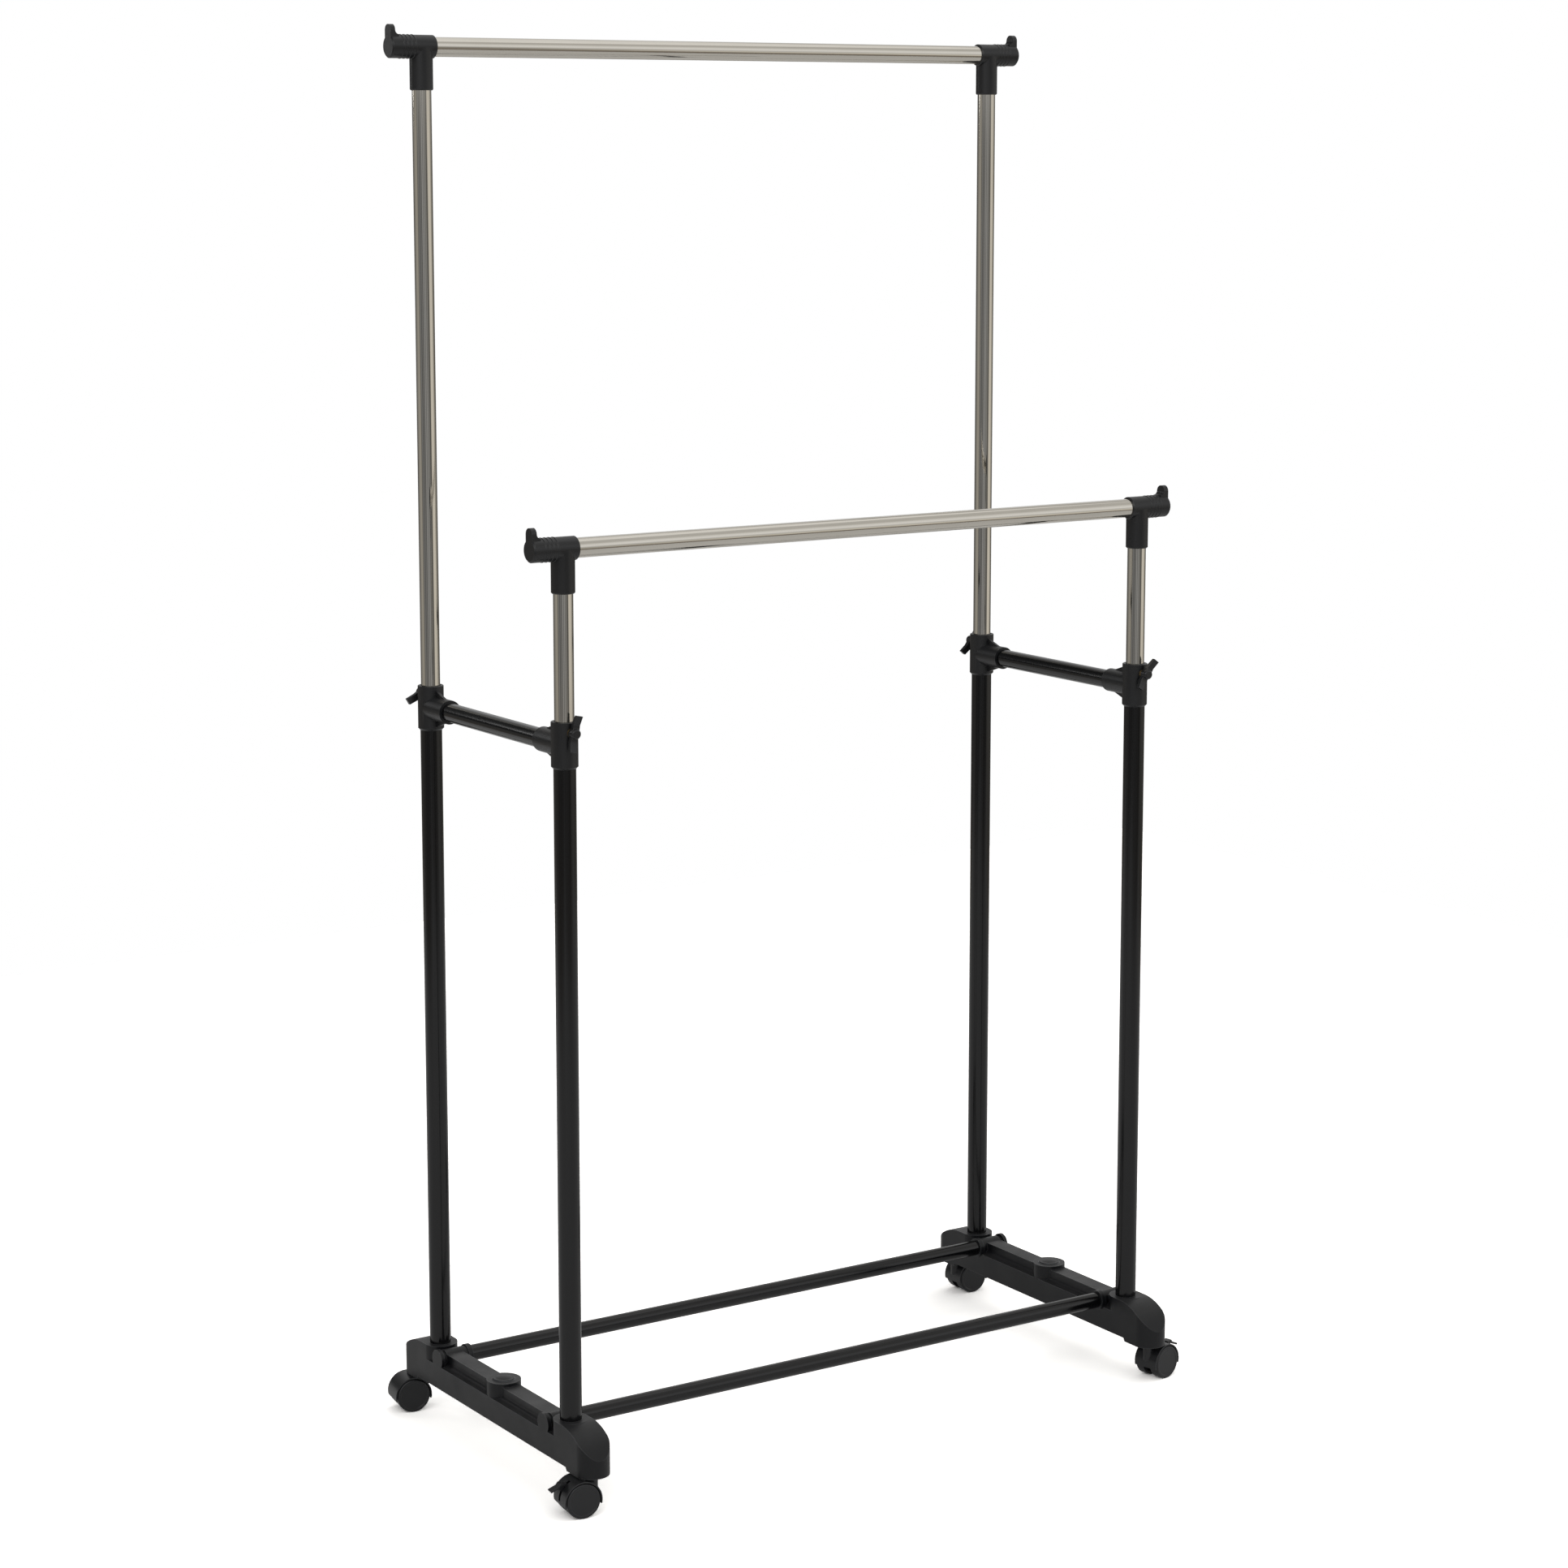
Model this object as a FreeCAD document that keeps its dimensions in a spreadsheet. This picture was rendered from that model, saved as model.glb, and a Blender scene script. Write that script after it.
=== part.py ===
# Two-tier rolling clothes rack on twin-wheel casters.
#
# Millimetres, +Z up, origin on the floor at the middle of the four posts.
# X runs along the hanging rails, -Y is the low front tier and +Y the high back tier.
# The root frame is two moulded bases, two base rails, four posts, four clamps and two cross tubes.
# Each tier is a pair of bright uprights and a rail, and slides down inside the posts.
import FreeCAD, Part
import os
import Sketcher

SIZES = [
    ("post_spacing", 790, "distance between the left and right posts"),
    ("post_depth", 310, "distance between the front and back posts"),
    ("post_diameter", 25, "outside of the black lower posts"),
    ("post_wall", 1.2, "wall of the lower posts"),
    ("post_length", 808, "cut length of the lower posts"),
    ("slide_gap", 0.3, "radial gap round an upright where it slides"),
    ("upright_wall", 0.9, "wall of the bright uprights"),
    ("upright_length", 770, "cut length of the bright uprights"),
    ("back_insertion", 58, "length of a back upright below the top of its clamp"),
    ("front_insertion", 596, "length of a front upright below the top of its clamp"),
    ("rail_diameter", 22, "outside of the hanging rails"),
    ("rail_wall", 0.9, "wall of the hanging rails"),
    ("base_wall", 7.5, "plastic round a post in the base, as seen from above"),
    ("base_height", 50, "foot of the base to the top of its post blocks"),
    ("base_arch", 4, "rise of the base's underside between its feet"),
    ("base_arch_inset", 22, "the arch ends this far outboard of the post axis"),
    ("base_shell", 3.5, "side and top wall over the hollow underside"),
    ("base_rib", 3, "thickness of the ribs under the base"),
    ("stem_offset", 46, "post axis to caster stem axis"),
    ("nose_radius", 62, "curve of the base's sloping nose, seen from the side"),
    ("nose_start", 13, "the nose starts to fall this far outboard of the post axis"),
    ("ridge_drop", 4, "post block top to ridge top"),
    ("ridge_width", 22, "flat top of the ridge along the base"),
    ("shoulder_drop", 14, "ridge top to the bottom of the grooves beside it"),
    ("groove_radius", 6, "hollow of the grooves"),
    ("post_socket", 40, "depth of the post sockets in the base"),
    ("plug_diameter", 28, "cap over the spare middle socket"),
    ("plug_dome", 3, "height of the cap's dome"),
    ("plug_stem", 14, "length of the cap's stem in the socket"),
    ("base_rail_diameter", 19, "outside of the two base rails"),
    ("base_rail_wall", 1, "wall of the base rails"),
    ("base_rail_inset", 28.6, "base rail axis inboard of the post axis"),
    ("base_rail_drop", 11, "base rail axis below the post block top"),
    ("rail_boss_wall", 2.5, "plastic round a base rail's end"),
    ("rail_boss_disc", 4.5, "thickness of the disc that closes a rail boss"),
    ("rail_boss_neck", 3.5, "the solid neck behind the disc is smaller by this"),
    ("rail_boss_floor", 3, "plastic between the neck and a base rail's end"),
    ("rail_boss_sleeve", 1.5, "the boss over the ridge is smaller by this"),
    ("rail_collar", 3, "the collar stands this far out of the inner side"),
    ("clamp_wall", 2.5, "plastic round a post in its clamp"),
    ("clamp_height", 52, "height of a clamp"),
    ("clamp_land", 21, "top of the post socket to the top of its clamp"),
    ("clamp_chamfer", 2.4, "bevel at the foot of a clamp"),
    ("cross_tube_diameter", 22, "outside of the cross tubes"),
    ("cross_tube_wall", 1, "wall of the cross tubes"),
    ("arm_wall", 2.9, "plastic round a cross tube in its clamp arm"),
    ("arm_reach", 47, "post axis to the end of a clamp arm"),
    ("arm_stop", 3, "plastic between the post bore and the cross tube's end"),
    ("gusset_end", 37.6, "post axis to the end of the webs"),
    ("gusset_sink", 0.3, "the webs end this far inside the arm"),
    ("gusset", 3, "thickness of the webs over and under a clamp arm"),
    ("knob_drop", 11, "knob axis below the top of its clamp"),
    ("screw_diameter", 5, "clamping screw"),
    ("screw_clearance", 0.05, "radial clearance round the clamping screw"),
    ("screw_gap", 0.3, "screw tip to upright"),
    ("screw_chamfer", 0.6, "bevel at the screw's tip"),
    ("screw_grip", 7, "length of screw moulded into the knob"),
    ("insert_diameter", 9.6, "brass insert in the clamp wall"),
    ("insert_stand", 1.8, "the insert stands this far out of the clamp"),
    ("knob_gap", 0.5, "insert face to knob hub"),
    ("knob_diameter", 11.5, "hub of the wing knob"),
    ("knob_length", 10, "length of the hub"),
    ("knob_round", 2.2, "rounding of the hub's end"),
    ("knob_chamfer", 0.6, "bevel at the hub's foot"),
    ("wing_span", 40, "tip to tip over both wings"),
    ("wing_width", 8, "width of a wing"),
    ("wing_thickness", 4, "thickness of a wing"),
    ("wing_crank", 4, "each wing is cranked outward by this"),
    ("wing_foot", 1.5, "face of the hub to the foot of a wing"),
    ("wing_bend", 10, "screw axis to the bend of a wing"),
    ("tee_wall", 2.2, "plastic round a tube in a tee"),
    ("tee_reach", 41.5, "post axis to the closed end of a tee"),
    ("tee_mouth", 15, "post axis to the open end of a tee"),
    ("tee_drop", 48.5, "rail axis to the foot of a tee"),
    ("tee_floor", 3, "plastic between the rail and the upright's end"),
    ("tee_end", 11.5, "plastic beyond the rail's end"),
    ("tee_foot_chamfer", 1.2, "bevel at the foot of a tee"),
    ("tee_mouth_chamfer", 0.8, "bevel at the open end of a tee"),
    ("tee_end_chamfer", 1.6, "bevel at the closed end of a tee"),
    ("tab_height", 24.6, "rail axis to the top of the end tab"),
    ("tab_width", 14, "width of the end tab"),
    ("tab_thickness", 6, "thickness of the end tab"),
    ("tab_root", 5, "root radius of the end tab"),
    ("ring_pitch", 5, "pitch of the grip rings"),
    ("ring_start", 12, "post axis to the first grip ring"),
    ("ring_radius", 1.3, "section of a grip ring"),
    ("ring_stand", 0.5, "height of a grip ring over the sleeve"),
    ("wheel_diameter", 40, "caster wheel"),
    ("wheel_width", 11.6, "width of one wheel"),
    ("wheel_round", 1.6, "rounding of a wheel's outer edge"),
    ("wheel_rim", 3.2, "thickness of a wheel's tread wall"),
    ("wheel_face", 2.2, "thickness of a wheel's outer face"),
    ("wheel_lip", 3.4, "width of the raised lip round a wheel's face"),
    ("wheel_lip_slope", 0.8, "the lip slopes down to the face over this"),
    ("wheel_recess", 0.5, "the face lies this far below the lip"),
    ("wheel_gap", 0.4, "gap between a wheel and the caster's core"),
    ("axle_diameter", 4, "caster axle"),
    ("axle_clearance", 0.06, "radial clearance of a wheel on its axle"),
    ("axle_chamfer", 0.4, "bevel at the axle's ends, and its gap to the wheel's face"),
    ("hub_wall", 2.5, "wall of a wheel's hub"),
    ("hood_gap", 1.0, "gap between a wheel's tread and the hood"),
    ("hood_shell", 1.5, "thickness of the hood"),
    ("hood_skirt", 5, "the hood ends this far below the axle"),
    ("hood_setback", 0.5, "the wheels stand this far out of the hood at each side"),
    ("caster_trail", 17, "stem axis to axle axis"),
    ("stem_diameter", 7, "caster stem"),
    ("stem_root", 20, "foot of the base to the bottom of the caster stem"),
    ("stem_wall", 1.5, "core wall beside the stem"),
    ("stem_chamfer", 1, "bevel at the stem's top"),
    ("stem_clearance", 0.06, "radial clearance of the stem in its bush"),
    ("neck_diameter", 13, "neck of the caster under the base"),
    ("neck_root", 4, "the neck starts this far over the axle"),
    ("neck_gap", 0.4, "top of the neck to the foot of the base"),
    ("swivel_clearance", 1.6, "hood top to the foot of the base"),
    ("bush_wall", 1.5, "wall of the stem bush"),
    ("bush_cover", 18, "top of a post block to the top of the stem bushes"),
    ("swivel_left_front", -7, "resting swivel of the caster, degrees"),
    ("swivel_left_back", -10, "resting swivel of the caster, degrees"),
    ("swivel_right_front", 12, "resting swivel of the caster, degrees"),
    ("swivel_right_back", 0, "resting swivel of the caster, degrees"),
    ("lever_thickness", 3.6, "brake lever across its slot"),
    ("lever_gap", 0.6, "gap at each side of the lever in its slot"),
    ("lever_width", 9, "foot plate of the brake lever"),
    ("lever_angle", 37, "lever over the level of the axle, degrees"),
    ("lever_pivot", 12, "axle axis to lever pivot"),
    ("slot_low", 50, "the slot's foot, degrees under the lever"),
    ("slot_high", 42, "the slot's head, degrees over the lever"),
    ("lever_rise", 8, "crown of the lever's plate outside the hood"),
    ("lever_reach", 14.5, "tip of the lever's plate outside the hood"),
    ("lever_plate", 2.6, "thickness of the lever's plate"),
    ("trunnion_diameter", 3, "pivot pin moulded on the lever"),
    ("trunnion_clearance", 0.06, "radial clearance of that pin"),
]

# Lengths that follow from the sizes above, as expressions.
POST_RADIUS = "(Sizes.post_diameter / 2)"
UPRIGHT_RADIUS = "(Sizes.post_diameter / 2 - Sizes.post_wall - Sizes.slide_gap)"
RAIL_RADIUS = "(Sizes.rail_diameter / 2)"
POST_X = "(Sizes.post_spacing / 2)"
POST_Y = "(Sizes.post_depth / 2)"
STEM_Y = "(Sizes.post_depth / 2 + Sizes.stem_offset)"
WHEEL_RADIUS = "(Sizes.wheel_diameter / 2)"
HOOD_INSIDE = "(Sizes.wheel_diameter / 2 + Sizes.hood_gap)"
HOOD_RADIUS = "(Sizes.wheel_diameter / 2 + Sizes.hood_gap + Sizes.hood_shell)"
FOOT_Z = f"({WHEEL_RADIUS} + {HOOD_RADIUS} + Sizes.swivel_clearance)"
ARCH_Z = f"({FOOT_Z} + Sizes.base_arch)"
BLOCK_Z = f"({FOOT_Z} + Sizes.base_height)"
RIDGE_Z = f"({BLOCK_Z} - Sizes.ridge_drop)"
SHOULDER_Z = f"({RIDGE_Z} - Sizes.shoulder_drop)"
BASE_HALF = "(Sizes.post_diameter / 2 + Sizes.base_wall)"
BASE_RAIL_Y = f"({POST_Y} - Sizes.base_rail_inset)"
BASE_RAIL_Z = f"({BLOCK_Z} - Sizes.base_rail_drop)"
BASE_RAIL_RADIUS = "(Sizes.base_rail_diameter / 2)"
RAIL_BOSS_RADIUS = "(Sizes.base_rail_diameter / 2 + Sizes.rail_boss_wall)"
BASE_RAIL_END = "(Sizes.ridge_width / 2 - Sizes.rail_boss_floor)"
CLAMP_SOCKET = "(Sizes.clamp_height - Sizes.clamp_land)"
CLAMP_Z = f"({BLOCK_Z} - Sizes.post_socket + Sizes.post_length - {CLAMP_SOCKET})"
CLAMP_TOP_Z = f"({CLAMP_Z} + Sizes.clamp_height)"
CLAMP_RADIUS = "(Sizes.post_diameter / 2 + Sizes.clamp_wall)"
GUIDE_RADIUS = f"({UPRIGHT_RADIUS} + Sizes.slide_gap)"
ARM_Z = "(Sizes.clamp_height / 2)"
ARM_RADIUS = "(Sizes.cross_tube_diameter / 2 + Sizes.arm_wall)"
CROSS_TUBE_RADIUS = "(Sizes.cross_tube_diameter / 2)"
CROSS_TUBE_START = f"({POST_RADIUS} + Sizes.arm_stop)"
KNOB_Z = "(Sizes.clamp_height - Sizes.knob_drop)"
SCREW_TIP = f"({UPRIGHT_RADIUS} + Sizes.screw_gap)"
INSERT_END = f"({CLAMP_RADIUS} + Sizes.insert_stand)"
KNOB_START = f"({INSERT_END} + Sizes.knob_gap)"
TEE_RADIUS = "(Sizes.rail_diameter / 2 + Sizes.tee_wall)"
TEE_POST_RADIUS = f"({UPRIGHT_RADIUS} + Sizes.tee_wall)"
TEE_STOP = "(Sizes.rail_diameter / 2 + Sizes.tee_floor)"
RAIL_END = "(Sizes.tee_reach - Sizes.tee_end)"
CORE_HALF = "(Sizes.stem_diameter / 2 + Sizes.stem_wall)"
WHEEL_START = f"({CORE_HALF} + Sizes.wheel_gap)"
WHEEL_END = f"({WHEEL_START} + Sizes.wheel_width)"
HOOD_HALF = f"({WHEEL_END} - Sizes.hood_setback)"
BUSH_LENGTH = "(Sizes.base_height - Sizes.bush_cover)"
STEM_LENGTH = f"({BUSH_LENGTH} + Sizes.stem_root)"
STEM_BOTTOM_Z = f"({FOOT_Z} - Sizes.stem_root)"
SWIVELS = {
    "left_front": "Sizes.swivel_left_front",
    "left_back": "Sizes.swivel_left_back",
    "right_front": "Sizes.swivel_right_front",
    "right_back": "Sizes.swivel_right_back",
}

UNIT_X = FreeCAD.Vector(1, 0, 0)
UNIT_Y = FreeCAD.Vector(0, 1, 0)
UNIT_Z = FreeCAD.Vector(0, 0, 1)
# Rotations that turn +Z to each axis, and that turn a sketch on to each plane.
ALONG = {
    "X": FreeCAD.Rotation(UNIT_Y, 90),
    "Y": FreeCAD.Rotation(UNIT_X, -90),
    "Z": FreeCAD.Rotation(),
}
PLANES = {
    "XY": FreeCAD.Rotation(),
    "XZ": FreeCAD.Rotation(UNIT_X, 90),
    "YZ": FreeCAD.Rotation(FreeCAD.Vector(1, 1, 1), 120),
}
NO_TURN = FreeCAD.Rotation()
HALF_TURN = FreeCAD.Rotation(UNIT_Z, 180)
GRIP_RINGS = 4
SIDES = (("left", -1), ("right", 1))
TIERS = (("front", -1), ("back", 1))

doc = FreeCAD.newDocument("clothes_rack")
nodes = []


# ---------------------------------------------------------------- helpers

def make_sheet():
    """Write every driving dimension into the sheet, with its alias and a note."""
    cells = doc.addObject("Spreadsheet::Sheet", "Sizes")
    for row, (alias, value, note) in enumerate(SIZES, start=1):
        cells.set(f"A{row}", alias)
        cells.set(f"B{row}", str(value))
        cells.set(f"C{row}", note)
        cells.setAlias(f"B{row}", alias)
    doc.recompute()
    return cells


sheet = make_sheet()


def value_of(expression):
    """The present value of an expression over the sheet."""
    return float(sheet.evalExpression(expression))


def bind(item, **expressions):
    """Bind properties of an object to expressions."""
    for name, expression in expressions.items():
        item.setExpression(name, expression)


def move(item, x="0", y="0", z="0", turn=NO_TURN):
    """Turn an object and bind its place to three expressions."""
    item.Placement = FreeCAD.Placement(FreeCAD.Vector(), turn)
    for axis, expression in zip("xyz", (x, y, z)):
        item.setExpression(f"Placement.Base.{axis}", expression)


def keep(item, label):
    """Name a finished piece and list it for export."""
    item.Label = label
    nodes.append(item)
    return item


def rod(name, radius, length, x="0", y="0", z="0", along="Z"):
    """A solid cylinder that starts at x, y, z."""
    solid = doc.addObject("Part::Cylinder", name)
    bind(solid, Radius=radius, Height=length)
    move(solid, x, y, z, ALONG[along])
    return solid


def block(name, low, high):
    """A box between two corners."""
    solid = doc.addObject("Part::Box", name)
    spans = [f"({top}) - ({bottom})" for bottom, top in zip(low, high)]
    bind(solid, Length=spans[0], Width=spans[1], Height=spans[2])
    move(solid, *low)
    return solid


def fuse(name, *solids):
    """One solid from several."""
    joined = doc.addObject("Part::MultiFuse", name)
    joined.Shapes = list(solids)
    joined.Refine = True
    return joined


def cut(name, solid, *tools):
    """A solid with tools taken out of it."""
    result = doc.addObject("Part::Cut", name)
    result.Base = solid
    result.Tool = tools[0] if len(tools) == 1 else fuse(f"{name}_tools", *tools)
    result.Refine = True
    return result


def common(name, first, second):
    """What two solids share."""
    shared = doc.addObject("Part::Common", name)
    shared.Base = first
    shared.Tool = second
    shared.Refine = True
    return shared


def pin_corner(sketch, line, direction, expression):
    """Fix one coordinate of the start of a line, whatever its sign."""
    value = value_of(expression)
    if abs(value) < 1e-9:
        axis = -2 if direction == "X" else -1
        sketch.addConstraint(Sketcher.Constraint("PointOnObject", line, 1, axis))
        return
    ends = (-1, 1, line, 1) if value > 0 else (line, 1, -1, 1)
    bound = expression if value > 0 else f"-({expression})"
    number = sketch.addConstraint(
        Sketcher.Constraint(f"Distance{direction}", *ends, abs(value))
    )
    sketch.setExpression(f"Constraints[{number}]", bound)


def draw_outline(sketch, corners):
    """Draw a closed outline of straight lines through corners given as expressions."""
    points = [FreeCAD.Vector(value_of(u), value_of(v), 0) for u, v in corners]
    count = len(points)
    for index in range(count):
        sketch.addGeometry(Part.LineSegment(points[index], points[(index + 1) % count]), False)
    for index in range(count):
        following = (index + 1) % count
        sketch.addConstraint(Sketcher.Constraint("Coincident", index, 2, following, 1))
    for index, (u, v) in enumerate(corners):
        pin_corner(sketch, index, "X", u)
        pin_corner(sketch, index, "Y", v)


def prism(name, plane, corners, start, length):
    """A straight-sided outline on a plane, extruded along the plane's normal from start."""
    sketch = doc.addObject("Sketcher::SketchObject", f"{name}_outline")
    sketch.Placement = FreeCAD.Placement(FreeCAD.Vector(), PLANES[plane])
    draw_outline(sketch, corners)
    solid = doc.addObject("Part::Extrusion", name)
    solid.Base = sketch
    solid.DirMode = "Normal"
    solid.Solid = True
    bind(solid, LengthFwd=f"({start}) + ({length})", LengthRev=f"-({start})")
    return solid


def origin_plane(body, role):
    """One of a body's own origin planes or axes."""
    return next(item for item in body.Origin.OriginFeatures if item.Role == role)


def new_body(name):
    """An empty body."""
    return doc.addObject("PartDesign::Body", name)


def body_sketch(body, role):
    """An empty sketch on one of a body's origin planes."""
    sketch = body.newObject("Sketcher::SketchObject", f"{body.Name}_sketch")
    sketch.AttachmentSupport = [(origin_plane(body, role), "")]
    sketch.MapMode = "FlatFace"
    return sketch


def turned(name, corners):
    """A body revolved round its own Z axis from (radius, height) corners."""
    body = new_body(name)
    sketch = body_sketch(body, "XZ_Plane")
    draw_outline(sketch, corners)
    spin = body.newObject("PartDesign::Revolution", f"{name}_turning")
    spin.Profile = sketch
    spin.ReferenceAxis = (sketch, ["V_Axis"])
    spin.Angle = 360
    return body


def round_edges(body, radius, wanted):
    """Fillet those edges of a body's last feature that the test picks."""
    doc.recompute()
    base = body.Tip
    names = [f"Edge{n}" for n, edge in enumerate(base.Shape.Edges, start=1) if wanted(edge)]
    fillet = body.newObject("PartDesign::Fillet", f"{body.Name}_rounding")
    fillet.Base = (base, names)
    bind(fillet, Radius=radius)
    return fillet


def tube(name, radius, wall, length):
    """A body that is a plain tube along its own Z axis."""
    body = new_body(name)
    sketch = body_sketch(body, "XY_Plane")
    for circle_radius in (radius, f"({radius} - {wall})"):
        size = value_of(circle_radius)
        number = sketch.addGeometry(Part.Circle(FreeCAD.Vector(), UNIT_Z, size), False)
        sketch.addConstraint(Sketcher.Constraint("Coincident", number, 3, -1, 1))
        held = sketch.addConstraint(Sketcher.Constraint("Radius", number, size))
        sketch.setExpression(f"Constraints[{held}]", circle_radius)
    pad = body.newObject("PartDesign::Pad", f"{name}_pad")
    pad.Profile = sketch
    bind(pad, Length=length)
    return body


# ---------------------------------------------------------------- root frame

def base_outline(name):
    """The base seen from above and from the side: a long slot shape with falling noses."""
    plan = fuse(
        f"{name}_plan",
        block(f"{name}_middle", (f"-{BASE_HALF}", f"-{STEM_Y}", FOOT_Z), (BASE_HALF, STEM_Y, BLOCK_Z)),
        rod(f"{name}_front_end", BASE_HALF, "Sizes.base_height", y=f"-{STEM_Y}", z=FOOT_Z),
        rod(f"{name}_back_end", BASE_HALF, "Sizes.base_height", y=STEM_Y, z=FOOT_Z),
    )
    nose_y = f"({POST_Y} + Sizes.nose_start)"
    high = f"(2 * {BLOCK_Z})"
    nose_z = f"({BLOCK_Z} - Sizes.nose_radius)"
    width = f"(4 * {BASE_HALF})"
    start = f"-2 * {BASE_HALF}"
    side = fuse(
        f"{name}_side",
        block(f"{name}_flat", (start, f"-{nose_y}", "0"), (f"2 * {BASE_HALF}", nose_y, high)),
        rod(f"{name}_front_nose", "Sizes.nose_radius", width, start, f"-{nose_y}", nose_z, "X"),
        rod(f"{name}_back_nose", "Sizes.nose_radius", width, start, nose_y, nose_z, "X"),
    )
    return common(f"{name}_outer", plan, side)


def base_grooves(name):
    """What is cut from the top of the base between its posts, to leave the ridge."""
    reach = f"2 * {BASE_HALF}"
    above = f"(2 * {RIDGE_Z})"
    tools = [block(f"{name}_top_cut", (f"-{reach}", f"-{POST_Y}", RIDGE_Z), (reach, POST_Y, above))]
    ridge = "(Sizes.ridge_width / 2)"
    centre_x = f"({ridge} + Sizes.groove_radius)"
    centre_z = f"({SHOULDER_Z} + Sizes.groove_radius)"
    for side, sign in SIDES:
        wide = (f"{sign} * {ridge}", f"{sign} * {reach}")
        narrow = (f"{sign} * {centre_x}", f"{sign} * {reach}")
        low, high = wide if sign > 0 else wide[::-1]
        tools.append(block(f"{name}_{side}_wide", (low, f"-{POST_Y}", centre_z), (high, POST_Y, above)))
        low, high = narrow if sign > 0 else narrow[::-1]
        tools.append(block(f"{name}_{side}_deep", (low, f"-{POST_Y}", SHOULDER_Z), (high, POST_Y, RIDGE_Z)))
        tools.append(rod(
            f"{name}_{side}_hollow", "Sizes.groove_radius", "Sizes.post_depth",
            f"{sign} * {centre_x}", f"-{POST_Y}", centre_z, "Y",
        ))
    return tools


def base_bosses(name):
    """Round post blocks, the spare middle block and the rail bosses."""
    bosses = [
        rod(f"{name}_{label}_block", BASE_HALF, f"{BLOCK_Z} - {ARCH_Z}", y=y, z=ARCH_Z)
        for label, y in (("front", f"-{POST_Y}"), ("middle", "0"), ("back", POST_Y))
    ]
    neck_radius = f"({RAIL_BOSS_RADIUS} - Sizes.rail_boss_neck)"
    sleeve_radius = f"({RAIL_BOSS_RADIUS} - Sizes.rail_boss_sleeve)"
    ridge = "(Sizes.ridge_width / 2)"
    for tier, sign in TIERS:
        y = f"{sign} * {BASE_RAIL_Y}"
        bosses.append(rod(
            f"{name}_{tier}_disc", RAIL_BOSS_RADIUS, "Sizes.rail_boss_disc",
            f"-{BASE_HALF}", y, BASE_RAIL_Z, "X",
        ))
        bosses.append(rod(
            f"{name}_{tier}_neck", neck_radius, BASE_HALF,
            f"-{BASE_HALF}", y, BASE_RAIL_Z, "X",
        ))
        bosses.append(rod(
            f"{name}_{tier}_sleeve", sleeve_radius, f"({BASE_HALF} + {ridge})",
            f"-{ridge}", y, BASE_RAIL_Z, "X",
        ))
        bosses.append(rod(
            f"{name}_{tier}_collar", RAIL_BOSS_RADIUS, "2 * Sizes.rail_collar",
            f"({BASE_HALF} - Sizes.rail_collar)", y, BASE_RAIL_Z, "X",
        ))
    return bosses


def base_holes(name):
    """Sockets for the posts, the plug, the base rails and the stem bushes."""
    socket_z = f"({BLOCK_Z} - Sizes.post_socket)"
    tools = [
        rod(f"{name}_{label}_socket", POST_RADIUS, "2 * Sizes.post_socket", y=y, z=socket_z)
        for label, y in (("front", f"-{POST_Y}"), ("middle", "0"), ("back", POST_Y))
    ]
    bush_radius = "(Sizes.stem_diameter / 2 + Sizes.stem_clearance + Sizes.bush_wall)"
    for tier, sign in TIERS:
        tools.append(rod(
            f"{name}_{tier}_rail_hole", BASE_RAIL_RADIUS, f"4 * {BASE_HALF}",
            f"-{BASE_RAIL_END}", f"{sign} * {BASE_RAIL_Y}", BASE_RAIL_Z, "X",
        ))
        tools.append(rod(
            f"{name}_{tier}_bush_hole", bush_radius, f"{BUSH_LENGTH} + {FOOT_Z}",
            y=f"{sign} * {STEM_Y}",
        ))
    return tools


def base_hollows(name):
    """Arch under the base, and the open pockets between its blocks and ribs."""
    arch_end = f"({POST_Y} + Sizes.base_arch_inset)"
    slope_end = f"({arch_end} + Sizes.base_arch / 2)"
    below = f"({FOOT_Z} / 2)"
    corners = [
        (f"-{slope_end}", below), (slope_end, below), (slope_end, FOOT_Z),
        (arch_end, ARCH_Z), (f"-{arch_end}", ARCH_Z), (f"-{slope_end}", FOOT_Z),
    ]
    tools = [prism(f"{name}_arch", "YZ", corners, f"-2 * {BASE_HALF}", f"4 * {BASE_HALF}")]
    inside = f"({BASE_HALF} - Sizes.base_shell)"
    roof = f"({SHOULDER_Z} - Sizes.base_shell)"
    boss_edge = f"({POST_RADIUS} + Sizes.base_shell)"
    wall_edge = f"({BASE_RAIL_Y} - {RAIL_BOSS_RADIUS})"
    middle = f"(({boss_edge} + {wall_edge}) / 2)"
    rib = "(Sizes.base_rib / 2)"
    for tier, sign in TIERS:
        for label, near, far in (
            ("inner", boss_edge, f"({middle} - {rib})"),
            ("outer", f"({middle} + {rib})", wall_edge),
        ):
            low, high = (near, far) if sign > 0 else (f"-{far}", f"-{near}")
            tools.append(block(f"{name}_{tier}_{label}", (f"-{inside}", low, below), (inside, high, roof)))
    return tools


def make_base(side, sign):
    """A moulded base that carries a front and a back post."""
    name = f"{side}_base"
    raised = cut(f"{name}_ridge", base_outline(name), *base_grooves(name))
    solid = fuse(f"{name}_body", raised, *base_bosses(name))
    base = cut(f"{name}_moulding", solid, *base_holes(name), *base_hollows(name))
    move(base, x=f"{sign} * {POST_X}", turn=NO_TURN if sign < 0 else HALF_TURN)
    keep(base, name)


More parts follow.
